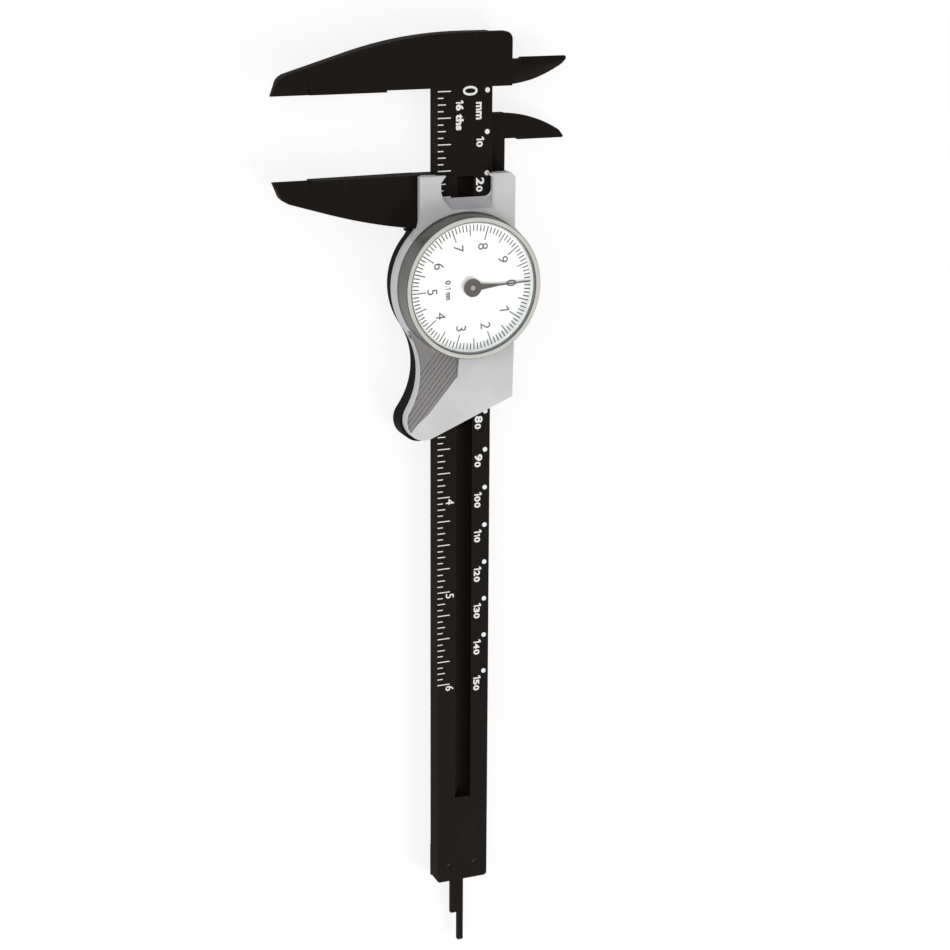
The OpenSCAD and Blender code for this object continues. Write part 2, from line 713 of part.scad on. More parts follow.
// Slider body with the moving jaws
module slider_body() {
    left = edge_x - inside_back - inside_w;
    color(black_plastic)
        difference() {
            union() {
                linear_extrude(parting_z) slider_outline(bulge_r - bulge_step, 0, nose_past, nose_drop);
                moving_jaw();
                jaw_root_fillet();
                translate([edge_x - inside_back, beam_y + beam_half, back_layer_z])
                    mirror([1, 0, 0]) mirror([0, 0, 1]) inside_jaw(side_gap);
                translate([left, channel_hi, beam_back_z])
                    cube([edge_x + over - left, beam_half + arm_reach + beam_y - channel_hi,
                          back_layer_z - beam_back_z]);
            }
            beam_channel();
            translate([back_end, channel_lo, -over])
                cube([far, channel_hi - channel_lo, back_t + 2 * over]);
            translate([-guide_l / 2 - 1, channel_hi - over, back_t])
                cube([guide_l + 2, guide_slot + over, parting_z]);
            for (p = screw_points)
                translate([p[0], p[1], -over]) {
                    cylinder(r = screw_head_r + screw_gap, h = over + screw_sunk + screw_head_h);
                    cylinder(r = screw_r + screw_gap, h = far);
                }
            at_rod_pins()
                translate([0, 0, -over]) cylinder(r = rod_pin_r, h = back_t + 2 * over);
        }
}

// Region of the cover's top that the thumb grip takes, up to rim from the outer edge
module grip_region(rim) {
    difference() {
        intersection() {
            slider_outline(bulge_r - rim, rim);
            translate([grip_x, -grip_y]) {
                rotate(-grip_a) translate([0, -far]) square([far, far]);
                rotate(-5) translate([-grip_wing, -far]) square([grip_wing + over, far]);
            }
        }
        circle(bezel_r + seat_gap / 2);
    }
}

// What the thumb grip takes away: the height of its rim, and a sloping floor with grooves inside it
module grip_cut() {
    intersection() {
        translate([0, 0, parting_z]) linear_extrude(far) grip_region(-over);
        grip_slant(cover_z) translate([-far, -far, 0]) cube([2 * far, far, far]);
    }
    intersection() {
        translate([0, 0, parting_z]) linear_extrude(far) grip_region(grip_rim);
        grip_slant(cover_z - grip_d) {
            translate([-far, -far, 0]) cube([2 * far, far + 3, far]);
            for (i = [1:rib_n])
                translate([-far, -i * rib_pitch, 0])
                    rotate([90, 0, 90])
                        linear_extrude(2 * far)
                            polygon([[-rib_d - over, over], [0, -rib_d], [rib_d + over, over]]);
        }
    }
}

// Lays a piece on the grip's slope, which starts at its border at the height z
module grip_slant(z) {
    translate([grip_x, -grip_y, z])
        rotate([0, 0, -grip_a])
            rotate([grip_slope, 0, 0]) children();
}

// Steep bevel on the cover's edge beside the dial, from the bezel's seat down to the outer wall
module side_cut() {
    inner = bezel_r + seat_gap / 2;
    slope = (side_drop - seat_d) / (bulge_r - inner);
    outer = bulge_r + seat_gap;
    intersection() {
        rotate_extrude()
            polygon([[inner, seat_z], [outer, seat_z - (outer - inner) * slope],
                     [outer, cover_z + over], [inner, cover_z + over]]);
        translate([-side_reach, -far, parting_z])
            cube([side_reach + grip_x - grip_wing + 1, far - bulge_r / 2, far]);
    }
}

// Window in the cover through which the beam's scale is read, the ramp behind it, whose jaw side runs
// slantwise, and the bevel along the window's other side
module window_cut() {
    lo = beam_y - beam_half + window_inset;
    hi = beam_y + beam_half - window_inset;
    end = edge_x + window_l;
    ramp_h = cover_rise - slide_gap;
    ramp_end = end + ramp_l + over;
    bevel_t = side_bevel / 2;
    translate([0, 0, ceiling_z - over])
        linear_extrude(far) {
            polygon([[edge_x - over, lo + lip_left], [edge_x, lo + lip_left], [edge_x + lip_left_l, lo],
                     [end - window_r, lo], [end - window_r, hi], [edge_x + lip_right_l, hi],
                     [edge_x, hi - lip_right], [edge_x - over, hi - lip_right]]);
            translate([end - window_r - over, lo + window_r]) square([window_r + over, hi - lo - 2 * window_r]);
            for (y = [lo + window_r, hi - window_r])
                translate([end - window_r, y]) circle(window_r);
        }
    intersection() {
        translate([end, hi, ceiling_z])
            rotate([90, 0, 0])
                linear_extrude(hi - lo)
                    polygon([[-window_r, ramp_foot], [0, ramp_foot], [ramp_l, ramp_h], [ramp_l, ramp_h + over],
                             [-window_r, ramp_h + over]]);
        translate([0, 0, ceiling_z])
            linear_extrude(far)
                polygon([[end - ramp_inset, lo + ramp_inset],
                         [ramp_end, lo + ramp_inset + (ramp_end - end + ramp_inset) * tan(ramp_a)],
                         [ramp_end, hi + over], [end - window_r - over, hi + over],
                         [end - window_r - over, lo + ramp_inset]]);
    }
    translate([edge_x - over, hi, cover_z])
        rotate([90, 0, 90])
            linear_extrude(window_l + ramp_l + over)
                polygon([[-0.1, -bevel_t - 0.05], [side_bevel + 2 * over, over], [-0.1, over]]);
}

// Grey cover of the slider
module slider_cover() {
    color(grey_plastic)
        difference() {
            union() {
                difference() {
                    union() {
                        translate([0, 0, parting_z])
                            linear_extrude(cover_z - parting_z) slider_outline(bulge_r, 0);
                        translate([0, 0, ceiling_z]) cylinder(r = bulge_r - platform_step, h = cover_z - ceiling_z);
                    }
                    translate([0, 0, seat_z]) cylinder(r = bezel_r + seat_gap, h = far);
                    rotate([0, 0, tail_a])
                        translate([crease_x, 0, cover_z])
                            rotate([0, tail_slope, 0])
                                translate([0, -far, 0]) cube([far, 2 * far, far]);
                    grip_cut();
                    side_cut();
                    window_cut();
                    beam_channel();
                    for (p = screw_points)
                        translate([p[0], p[1], parting_z - over])
                            cylinder(r = screw_r, h = cover_z - screw_cap - parting_z + over);
                }
                translate([0, 0, seat_z - 0.1])
                    difference() {
                        cylinder(r = boss_r, h = boss_top_z - seat_z + 0.1);
                        translate([0, 0, -over]) cylinder(r = boss_r - boss_wall, h = far);
                    }
                for (s = [-1, 1])
                    translate([s * bridge_reach, 0, seat_z - 0.1]) cylinder(r = post_r, h = bridge_rise + 0.1);
            }
            translate([0, 0, brake_z]) brake_groove();
            for (s = [-1, 1])
                translate([s * bridge_reach, 0, seat_z])
                    cylinder(r = bridge_screw_r, h = far);
            translate([0, 0, parting_z]) cylinder(r = bush_r, h = far);
        }
}

// Ring-shaped groove for the wire ring, half in the boss and half in the sleeve
module brake_groove() {
    half = brake_wire_r + brake_gap;
    rotate_extrude()
        translate([brake_r - half, -half]) square([2 * half, 2 * half]);
}

// Screws that join body and cover
module cover_screws() {
    recess = screw_head_r * 0.55;
    color(steel)
        for (p = screw_points)
            translate([p[0], p[1], screw_sunk])
                difference() {
                    union() {
                        cylinder(r = screw_head_r, h = screw_head_h);
                        cylinder(r = screw_r, h = cover_z - screw_cap - screw_sunk);
                    }
                    for (a = [0, 90])
                        rotate([0, 0, a])
                            translate([-recess, -0.2, -over]) cube([2 * recess, 0.4, over + screw_head_h / 2]);
                }
}

// Bowed leaf spring that presses on the beam's edge
module guide_spring() {
    r = (guide_l * guide_l / 4 + guide_bow * guide_bow) / (2 * guide_bow);
    half_a = asin(guide_l / (2 * r));
    c = [0, beam_y + beam_half + rest_gap + r];
    color(steel)
        translate([0, 0, back_t + (parting_z - back_t - guide_h) / 2])
            linear_extrude(guide_h)
                polygon(concat(arc(c, r, 270 - half_a, 270 + half_a, 24),
                               arc(c, r - guide_t, 270 + half_a, 270 - half_a, 24)));
}

// Depth rod with its narrow nib
module depth_rod() {
    color(black_plastic)
        difference() {
            translate([rod_start, beam_y - rod_w / 2, rod_z]) {
                cube([rod_tip_x - nib_l - rod_start, rod_w, rod_t]);
                translate([0, rod_w - nib_w, 0]) cube([rod_tip_x - rod_start, nib_w, rod_t]);
            }
            at_rod_pins()
                translate([0, 0, rod_z - over]) cylinder(r = rod_pin_r, h = rod_t + 2 * over);
        }
}

// Pins that fix the depth rod to the slider's back wall
module rod_pins() {
    color(steel)
        at_rod_pins()
            translate([0, 0, screw_sunk]) cylinder(r = rod_pin_r, h = rod_z + rod_t - screw_sunk);
}

// Bar over the movement that carries the upper bush
module bridge() {
    color(steel)
        translate([0, 0, bridge_z])
            difference() {
                union() {
                    translate([-bridge_reach, -bridge_w / 2, 0]) cube([2 * bridge_reach, bridge_w, bridge_t]);
                    for (s = [-1, 1])
                        translate([s * bridge_reach, 0, 0]) cylinder(r = post_r, h = bridge_t);
                }
                translate([0, 0, -over]) cylinder(r = bush_r, h = far);
                for (s = [-1, 1])
                    translate([s * bridge_reach, 0, -over]) cylinder(r = bridge_screw_r, h = far);
            }
}

// Screws that hold the bridge on its posts
module bridge_screws() {
    color(steel)
        for (s = [-1, 1])
            translate([s * bridge_reach, 0, 0])
                difference() {
                    union() {
                        translate([0, 0, seat_z]) cylinder(r = bridge_screw_r, h = bridge_top_z - seat_z);
                        translate([0, 0, bridge_top_z]) cylinder(r = bridge_head_r, h = bridge_head_h);
                    }
                    translate([-far / 2, -0.2, bridge_top_z + bridge_head_h / 2]) cube([far, 0.4, over]);
                }
}

// A bush with its flange at Z = 0 to bush_flange_t and its barrel below it
module bush(length) {
    difference() {
        union() {
            cylinder(r = bush_r + bush_flange_w, h = bush_flange_t);
            translate([0, 0, -length]) cylinder(r = bush_r, h = length + bush_flange_t / 2);
        }
        translate([0, 0, -length - over]) cylinder(r = arbor_r + arbor_gap, h = length + bush_flange_t + 2 * over);
    }
}

// Bush in the cover
module lower_bush() {
    color(brass)
        translate([0, 0, seat_z]) bush(seat_z - ceiling_z);
}

// Bush in the bridge
module upper_bush() {
    color(brass)
        translate([0, 0, bridge_z]) mirror([0, 0, 1]) bush(bridge_t);
}

// Open wire ring that keeps the bezel down and brakes it
module brake_ring() {
    color(steel)
        translate([0, 0, brake_z])
            difference() {
                rotate_extrude() translate([brake_r, 0]) circle(brake_wire_r, $fn = 24);
                translate([0, -1, -over]) cube([far, 2, 2 * over]);
            }
}

// Ring that holds the crystal and the dial
module bezel() {
    top_r = bezel_r - bezel_taper;
    color(grey_plastic)
        rotate_extrude()
            polygon([[bore_r, bezel_foot_z], [bezel_r, bezel_foot_z],
                     [top_r, bezel_top_z - bezel_edge], [top_r - bezel_edge, bezel_top_z],
                     [lip_r + bezel_edge, bezel_top_z], [lip_r, bezel_top_z - bezel_edge],
                     [lip_r, lip_z], [bore_r, lip_z]]);
}

// Clear disc under the bezel's lip
module crystal() {
    color(clear)
        translate([0, 0, crystal_z]) {
            cylinder(r = drop_r, h = crystal_flange);
            cylinder(r = lip_r - drop_gap, h = crystal_t);
        }
}

// Ring between dial and crystal
module dial_spacer() {
    color(white_plate)
        translate([0, 0, dial_z])
            difference() {
                cylinder(r = drop_r, h = dial_space);
                translate([0, 0, -over]) cylinder(r = drop_r - spacer_w, h = dial_space + 2 * over);
            }
}

// Dial with a hole for the arbor
module dial_plate() {
    color(white_plate)
        translate([0, 0, dial_back_z])
            difference() {
                cylinder(r = drop_r, h = dial_t);
                translate([0, 0, -over]) cylinder(r = arbor_r + 0.5, h = dial_t + 2 * over);
            }
}

// Sleeve that holds the dial in the bezel and turns on the boss
module bezel_sleeve() {
    color(grey_plastic)
        difference() {
            translate([0, 0, bezel_foot_z])
                difference() {
                    cylinder(r = bore_r, h = dial_back_z - bezel_foot_z);
                    translate([0, 0, -over]) cylinder(r = sleeve_r, h = far);
                }
            translate([0, 0, brake_z]) brake_groove();
        }
}

// Shaft of pinion and pointer with the collar between its bushes
module arbor() {
    top = dial_z + pointer_lift + pointer_hub_h;
    low = seat_z + bush_flange_t + collar_gap;
    high = bridge_z - bush_flange_t - collar_gap;
    color(steel) {
        translate([0, 0, pinion_z]) cylinder(r = arbor_r, h = top - pinion_z);
        translate([0, 0, low]) cylinder(r = collar_r, h = high - low);
    }
}

// Pinion that runs on the rack
module pinion() {
    root_r = pitch_r - dedendum;
    tip_r = pitch_r + addendum;
    step = 360 / pinion_teeth;
    // Half widths of a tooth at its root, at the pitch line and at its tip
    root_half = 0.14 * tooth_pitch;
    mid_half = 0.2 * tooth_pitch;
    tip_half = 0.09 * tooth_pitch;
    color(brass)
        translate([0, 0, pinion_z])
            rotate([0, 0, -gap_l * turn_per_mm])
                difference() {
                    linear_extrude(pinion_h) {
                        circle(root_r);
                        for (i = [0:pinion_teeth - 1])
                            rotate(-90 + i * step)
                                polygon([[0, -root_half], [root_r, -root_half], [pitch_r, -mid_half],
                                         [tip_r, -tip_half], [tip_r, tip_half], [pitch_r, mid_half],
                                         [root_r, root_half], [0, root_half]]);
                    }
                    translate([0, 0, -over]) cylinder(r = arbor_r, h = pinion_h + 2 * over);
                }
}

// Pointer with its hub
module pointer() {
    color(black_plastic)
        translate([0, 0, dial_z + pointer_lift])
            rotate([0, 0, dial_turn - gap_l * turn_per_mm])
                difference() {
                    union() {
                        cylinder(r = pointer_hub_r, h = pointer_hub_h);
                        linear_extrude(pointer_t)
                            polygon([[-pointer_root_w / 2, 0], [pointer_root_w / 2, 0],
                                     [pointer_needle_w / 2, pointer_arm_l], [pointer_tip_w / 2, pointer_l],
                                     [-pointer_tip_w / 2, pointer_l], [-pointer_needle_w / 2, pointer_arm_l]]);
                    }
                    translate([0, 0, -over]) cylinder(r = arbor_r, h = pointer_hub_h + 2 * over);
                }
}

beam();
gear_rack();
end_plate();
end_pins();
slider_body();
slider_cover();
cover_screws();
guide_spring();
depth_rod();
rod_pins();
bridge();
bridge_screws();
lower_bush();
upper_bush();
brake_ring();
bezel();
crystal();
dial_spacer();
dial_plate();
bezel_sleeve();
arbor();
pinion();
pointer();
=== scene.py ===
"""Looks of a moulded plastic dial caliper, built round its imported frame.

The frame gives every solid and its place. This script gives each one its finish, rounds the edges of
the beam, the slider's body, its cover and the bezel, and adds what is printed on the beam and the dial.
"""

import json
import logging
import math
from dataclasses import dataclass, field
from enum import Enum
from typing import ClassVar

import bpy
from mathutils import Matrix, Vector

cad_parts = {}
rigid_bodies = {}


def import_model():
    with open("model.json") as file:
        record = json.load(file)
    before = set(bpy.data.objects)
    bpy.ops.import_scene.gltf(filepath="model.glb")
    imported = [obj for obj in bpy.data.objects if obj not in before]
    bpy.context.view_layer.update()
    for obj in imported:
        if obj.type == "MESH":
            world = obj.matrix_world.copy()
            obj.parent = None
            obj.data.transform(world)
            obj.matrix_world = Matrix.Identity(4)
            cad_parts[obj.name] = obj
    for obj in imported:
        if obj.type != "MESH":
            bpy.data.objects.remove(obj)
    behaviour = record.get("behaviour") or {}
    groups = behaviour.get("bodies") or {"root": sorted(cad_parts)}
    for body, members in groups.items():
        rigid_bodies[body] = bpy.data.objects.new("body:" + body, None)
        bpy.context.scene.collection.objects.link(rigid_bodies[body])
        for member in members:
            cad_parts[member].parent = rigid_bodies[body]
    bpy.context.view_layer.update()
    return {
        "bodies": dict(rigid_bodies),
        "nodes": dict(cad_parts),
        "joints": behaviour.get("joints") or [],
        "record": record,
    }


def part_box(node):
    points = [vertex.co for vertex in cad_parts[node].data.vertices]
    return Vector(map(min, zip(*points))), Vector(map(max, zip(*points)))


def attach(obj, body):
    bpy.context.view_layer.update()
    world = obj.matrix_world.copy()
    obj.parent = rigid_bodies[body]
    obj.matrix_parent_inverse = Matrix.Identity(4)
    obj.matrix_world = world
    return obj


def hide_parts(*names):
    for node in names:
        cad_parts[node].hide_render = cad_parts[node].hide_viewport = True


LOG = logging.getLogger("caliper")
MM = 0.001

# The beam's own measure, as in the part: its length from the zero line, and its scales.
BEAM_LENGTH = 209 * MM
SCALE_LENGTH_MM = 150
NUMBER_STEP_MM = 10
SCALE_LENGTH_IN = 6
INCH = 25.4 * MM
TICKS_PER_INCH = 16

Tree = bpy.types.NodeTree
Socket = bpy.types.NodeSocket
Piece = bpy.types.Object
Pair = tuple[float, float]
Triple = tuple[float, float, float]


def srgb(code: str) -> tuple[float, float, float, float]:
    """Turns an sRGB hex colour to the linear values that Blender's sockets take.

    Args:
        code: Six hex digits, with or without a leading hash.

    Returns:
        Linear red, green and blue, and full opacity.
    """
    digits = code.lstrip("#")
    parts = [int(digits[i : i + 2], 16) / 255 for i in (0, 2, 4)]
    r, g, b = (p / 12.92 if p <= 0.04045 else ((p + 0.055) / 1.055) ** 2.4 for p in parts)
    return (r, g, b, 1.0)


def add_node(
    tree: Tree, kind: str, settings: dict | None = None, links: dict | None = None
) -> bpy.types.Node:
    """Adds a node with its settings and links.

    Args:
        tree: The material's node tree.
        kind: The node's type name.
        settings: Attribute names, or socket names in square brackets, to their values.
        links: Input socket names or numbers to the output sockets that feed them.

    Returns:
        The new node.
    """
    node = tree.nodes.new(kind)
    for key, value in (settings or {}).items():
        if key.startswith("["):
            node.inputs[key[1:-1]].default_value = value
        else:
            setattr(node, key, value)
    for key, source in (links or {}).items():
        tree.links.new(source, node.inputs[key])
    return node


def noise(tree: Tree, place: Socket, cell_mm: float, detail: float) -> Socket:
    """Adds a noise with cells of a given width, on coordinates in metres."""
    settings = {"[Scale]": 1.0 / (cell_mm * MM), "[Detail]": detail}
    return add_node(tree, "ShaderNodeTexNoise", settings, {"Vector": place}).outputs["Fac"]


def remap(
    tree: Tree, value: Socket, source: Pair = (0.0, 1.0), target: Pair = (0.0, 1.0)
) -> Socket:
    """Spreads a value from one range over another, and holds it at the ends.

    Args:
        tree: The node tree.
        value: The value's socket.
        source: The range it comes in.
        target: The range it goes out in.

    Returns:
        The new value's socket.
    """
    ends = ("[From Min]", "[From Max]", "[To Min]", "[To Max]")
    settings = dict(zip(ends, source + target))
    return add_node(tree, "ShaderNodeMapRange", settings, {"Value": value}).outputs[0]


def combine(tree: Tree, operation: str, first: Socket, second: Socket | float) -> Socket:
    """Joins two values by one operation.

    Args:
        tree: The node tree.
        operation: The maths node's operation.
        first: The first value's socket.
        second: The second value, a socket or a plain number.

    Returns:
        The result's socket.
    """
    node = add_node(tree, "ShaderNodeMath", {"operation": operation}, {0: first})
    if isinstance(second, float):
        node.inputs[1].default_value = second
    else:
        tree.links.new(second, node.inputs[1])
    return node.outputs[0]


def stretched(tree: Tree, place: Socket, scale: Triple, turn: float = 0.0) -> Socket:
    """Stretches and turns coordinates, so that a noise on them gives lines."""
    settings = {"[Rotation]": (0.0, 0.0, turn), "[Scale]": scale}
    return add_node(tree, "ShaderNodeMapping", settings, {"Vector": place}).outputs[0]


def relief(tree: Tree, height: Socket, strength: float, depth: float) -> Socket:
    """Bends the normal as low relief does, with heights from 0 to 1 and its depth in metres."""
    settings = {"[Strength]": strength, "[Distance]": depth}
    return add_node(tree, "ShaderNodeBump", settings, {"Height": height}).outputs["Normal"]


def new_material(name: str) -> tuple[bpy.types.Material, Tree]:
    """Makes an empty material.

    Args:
        name: The material's name.

    Returns:
        The material and its cleared node tree.
    """
    material = bpy.data.materials.new(name)
    material.use_nodes = True
    material.node_tree.nodes.clear()
    return material, material.node_tree


def wear(piece: Piece, material: bpy.types.Material) -> None:
    """Puts one material all over a piece or a CAD node."""
    piece.data.materials.clear()
    piece.data.materials.append(material)


def deselect() -> None:
    """Leaves nothing selected, so that an operator acts only on what is picked next."""
    if bpy.context.object and bpy.context.object.mode != "OBJECT":
        bpy.ops.object.mode_set(mode="OBJECT")
    bpy.ops.object.select_all(action="DESELECT")


def pick(*pieces: Piece) -> Piece:
    """Selects pieces and makes the first one active.

    Args:
        pieces: What to select.

    Returns:
        The active piece.
    """
    deselect()
    for piece in pieces:
        piece.select_set(True)
    bpy.context.view_layer.objects.active = pieces[0]
    return pieces[0]


def settle(piece: Piece) -> Piece:
    """Moves a piece's place into its mesh, so that its object sits at the origin.

    Args:
        piece: A mesh piece.

    Returns:
        The same piece.
    """
    pick(piece)
    bpy.ops.object.transform_apply(location=True, rotation=True, scale=True)
    return piece


def join(name: str, pieces: list[Piece]) -> Piece:
    """Joins pieces to one.

    Args:
        name: The joined piece's name.
        pieces: Mesh pieces, at least two.

    Returns:
        The joined piece.
    """
    first = pick(*pieces)
    bpy.ops.object.join()
    first.name = name
    first.data.name = name
    return settle(first)


def apply_modifiers(piece: Piece) -> None:
    """Applies every modifier of a piece in order.

    Args:
        piece: A mesh piece.
    """
    pick(piece)
    for modifier in list(piece.modifiers):
        bpy.ops.object.modifier_apply(modifier=modifier.name)


def smooth(piece: Piece, degrees: float = 30.0) -> None:
    """Shades a piece smooth where its faces meet at less than an angle."""
    pick(piece)
    bpy.ops.object.shade_smooth_by_angle(angle=math.radians(degrees))


class Division(Enum):
    """What a scale's line divides, which decides how long the line is."""

    MAIN = "main"
    MIDDLE = "middle"
    FINE = "fine"

    @classmethod
    def of(cls, count: int, main: int, middle: int) -> "Division":
        """Sorts a line by its number.

        Args:
            count: The line's number from the scale's start.
            main: How many lines apart the main divisions are.
            middle: How many lines apart the middle divisions are.

        Returns:
            The division that the line marks.
        """
        if count % main == 0:
            return cls.MAIN
        return cls.MIDDLE if count % middle == 0 else cls.FINE


@dataclass(frozen=True)
class Finish:
    """What a surface is made of and how it was finished."""

    name: str

    def make(self) -> bpy.types.Material:
        """Builds the material.

        Returns:
            The finished material.
        """
        material, tree = new_material(self.name)
        place = add_node(tree, "ShaderNodeTexCoord").outputs["Object"]
        shader = self.surface(tree, place)
        add_node(tree, "ShaderNodeOutputMaterial", {}, {"Surface": shader})
        return material

    def surface(self, tree: Tree, place: Socket) -> Socket:
        """Adds the surface's nodes on Object coordinates and gives its shader's socket."""
        raise NotImplementedError


@dataclass(frozen=True)
class MouldedPlastic(Finish):
    """Injection-moulded plastic with the grain of a spark-eroded mould.

    The eye sees an even colour with a soft, broad shine, a grain like fine sand, edges that handling
    has rubbed smoother and a little paler, and a few faint scratches.
    """

    colour: str
    worn: str
    grain_mm: float
    grain_depth: float
    roughness: float
    rub: float
    edge_rub: float
    shine: float

    refraction: ClassVar[float] = 1.5
    # How much smoother worn plastic is
    worn_gloss: ClassVar[float] = 0.18
    grain_relief: ClassVar[float] = 0.05 * MM
    # The melt's flow: its cells, where its darker and its brighter colour lie, and their shares
    flow_mm: ClassVar[float] = 9.0
    flow_ends: ClassVar[Pair] = (0.3, 0.7)
    flow_shares: ClassVar[Pair] = (0.94, 1.05)
    # Scratches: their width and direction, the patches they come in, and what counts as one
    scratch_mm: ClassVar[float] = 0.35
    scratch_stretch: ClassVar[Triple] = (0.05, 1.0, 0.3)
    scratch_turn: ClassVar[float] = 0.5
    scratch_patch_mm: ClassVar[float] = 8.0
    scratch_range: ClassVar[Pair] = (0.4, 0.52)
    # Rubbed edges: their reach, how far the normals part there, and the patches that break them up
    edge_reach: ClassVar[float] = 0.3 * MM
    edge_samples: ClassVar[int] = 4
    edge_range: ClassVar[Pair] = (0.98, 0.82)
    edge_patch_mm: ClassVar[float] = 2.5
    edge_patch_range: ClassVar[Pair] = (0.35, 0.65)
    edge_least_share: ClassVar[float] = 0.2

    def surface(self, tree: Tree, place: Socket) -> Socket:
        """Adds the nodes of the surface.

        Args:
            tree: The material's node tree.
            place: Object coordinates.

        Returns:
            The shader's socket.
        """
        tone = self.flow(tree, place)
        worn = combine(tree, "MAXIMUM", self.scratches(tree, place), self.rubbed_edges(tree, place))
        colour = add_node(
            tree, "ShaderNodeMixRGB", {"[Color2]": srgb(self.worn)}, {"Fac": worn, "Color1": tone}
        )
        gloss = remap(tree, worn, target=(self.roughness, self.roughness - self.worn_gloss))
        # The mould's grain, drawn two to three times as coarse as it is, so that it shows
        grain = noise(tree, place, self.grain_mm, detail=2.0)
        links = {
            "Base Color": colour.outputs["Color"],
            "Roughness": gloss,
            "Normal": relief(tree, grain, self.grain_depth, self.grain_relief),
        }
        settings = {"[IOR]": self.refraction, "[Specular IOR Level]": self.shine}
        return add_node(tree, "ShaderNodeBsdfPrincipled", settings, links).outputs[0]

    def flow(self, tree: Tree, place: Socket) -> Socket:
        """Shifts the colour a little where the melt flowed, over some millimetres.

        Args:
            tree: The material's node tree.
            place: Object coordinates.

        Returns:
            The colour's socket.
        """
        cloud = noise(tree, place, self.flow_mm, detail=3.0)
        ramp = add_node(tree, "ShaderNodeValToRGB", {}, {0: cloud})
        base = srgb(self.colour)
        for element, position, share in zip(ramp.color_ramp.elements, self.flow_ends, self.flow_shares):
            element.position = position
            element.color = tuple(c * share for c in base[:3]) + (1.0,)
        return ramp.outputs["Color"]

    def scratches(self, tree: Tree, place: Socket) -> Socket:
        """Draws short scratches, a tenth of a millimetre wide, only here and there.

        Args:
            tree: The material's node tree.
            place: Object coordinates.

        Returns:
            The socket with 0 for untouched and up to the rub value for scratched plastic.
        """
        along = stretched(tree, place, self.scratch_stretch, self.scratch_turn)
        lines = noise(tree, along, self.scratch_mm, detail=2.0)
        patch = noise(tree, place, self.scratch_patch_mm, detail=1.0)
        both = combine(tree, "MULTIPLY", lines, patch)
        return remap(tree, both, self.scratch_range, (0.0, self.rub))

    def rubbed_edges(self, tree: Tree, place: Socket) -> Socket:
        """Finds the edges, where the rounded normal leaves the true one, and breaks them up.

        Args:
            tree: The material's node tree.
            place: Object coordinates.

        Returns:
            The socket with 0 away from edges and up to the edge rub value on them.
        """
        reach = {"samples": self.edge_samples, "[Radius]": self.edge_reach}
        rounded = add_node(tree, "ShaderNodeBevel", reach).outputs["Normal"]
        true = add_node(tree, "ShaderNodeNewGeometry").outputs["Normal"]
        dot = {"operation": "DOT_PRODUCT"}
        same = add_node(tree, "ShaderNodeVectorMath", dot, {0: rounded, 1: true}).outputs["Value"]
        patch = noise(tree, place, self.edge_patch_mm, detail=3.0)
        shares = (self.edge_least_share * self.edge_rub, self.edge_rub)
        part = remap(tree, patch, self.edge_patch_range, shares)
        return combine(tree, "MULTIPLY", remap(tree, same, self.edge_range), part)


@dataclass(frozen=True)
class Metal(Finish):
    """Turned or drawn metal with fine tool lines and a slightly uneven shine."""

    colour: str
    roughness: float
    line_mm: float
    line_depth: float

    line_stretch: ClassVar[Triple] = (0.2, 0.2, 1.0)
    line_relief: ClassVar[float] = 0.02 * MM
    cloud_mm: ClassVar[float] = 4.0
    smoother: ClassVar[float] = 0.06
    rougher: ClassVar[float] = 0.08

    def surface(self, tree: Tree, place: Socket) -> Socket:
        """Adds the nodes of the surface.

        Args:
            tree: The material's node tree.
            place: Object coordinates.

        Returns:
            The shader's socket.
        """
        lines = noise(tree, stretched(tree, place, self.line_stretch), self.line_mm, detail=3.0)
        cloud = noise(tree, place, self.cloud_mm, detail=2.0)
        ends = (self.roughness - self.smoother, self.roughness + self.rougher)
        links = {
            "Roughness": remap(tree, cloud, target=ends),
            "Normal": relief(tree, lines, self.line_depth, self.line_relief),
        }
        settings = {"[Base Color]": srgb(self.colour), "[Metallic]": 1.0}
        return add_node(tree, "ShaderNodeBsdfPrincipled", settings, links).outputs[0]


@dataclass(frozen=True)
class PrintedInk(Finish):
    """Pad-printed ink: nearly flat colour with small thin spots where it took less well."""

    colour: str
    thin: str
    roughness: float = 0.6

    spot_mm: ClassVar[float] = 0.35
    spot_range: ClassVar[Pair] = (0.62, 0.75)
    spot_share: ClassVar[float] = 0.5

    def surface(self, tree: Tree, place: Socket) -> Socket:
        """Adds the nodes of the surface.

        Args:
            tree: The material's node tree.
            place: Object coordinates.

        Returns:
            The shader's socket.
        """
        spots = noise(tree, place, self.spot_mm, detail=2.0)
        thinned = remap(tree, spots, self.spot_range, (0.0, self.spot_share))
        tones = {"[Color1]": srgb(self.colour), "[Color2]": srgb(self.thin)}
        colour = add_node(tree, "ShaderNodeMixRGB", tones, {"Fac": thinned}).outputs["Color"]
        settings = {"[Roughness]": self.roughness}
        return add_node(tree, "ShaderNodeBsdfPrincipled", settings, {"Base Color": colour}).outputs[0]


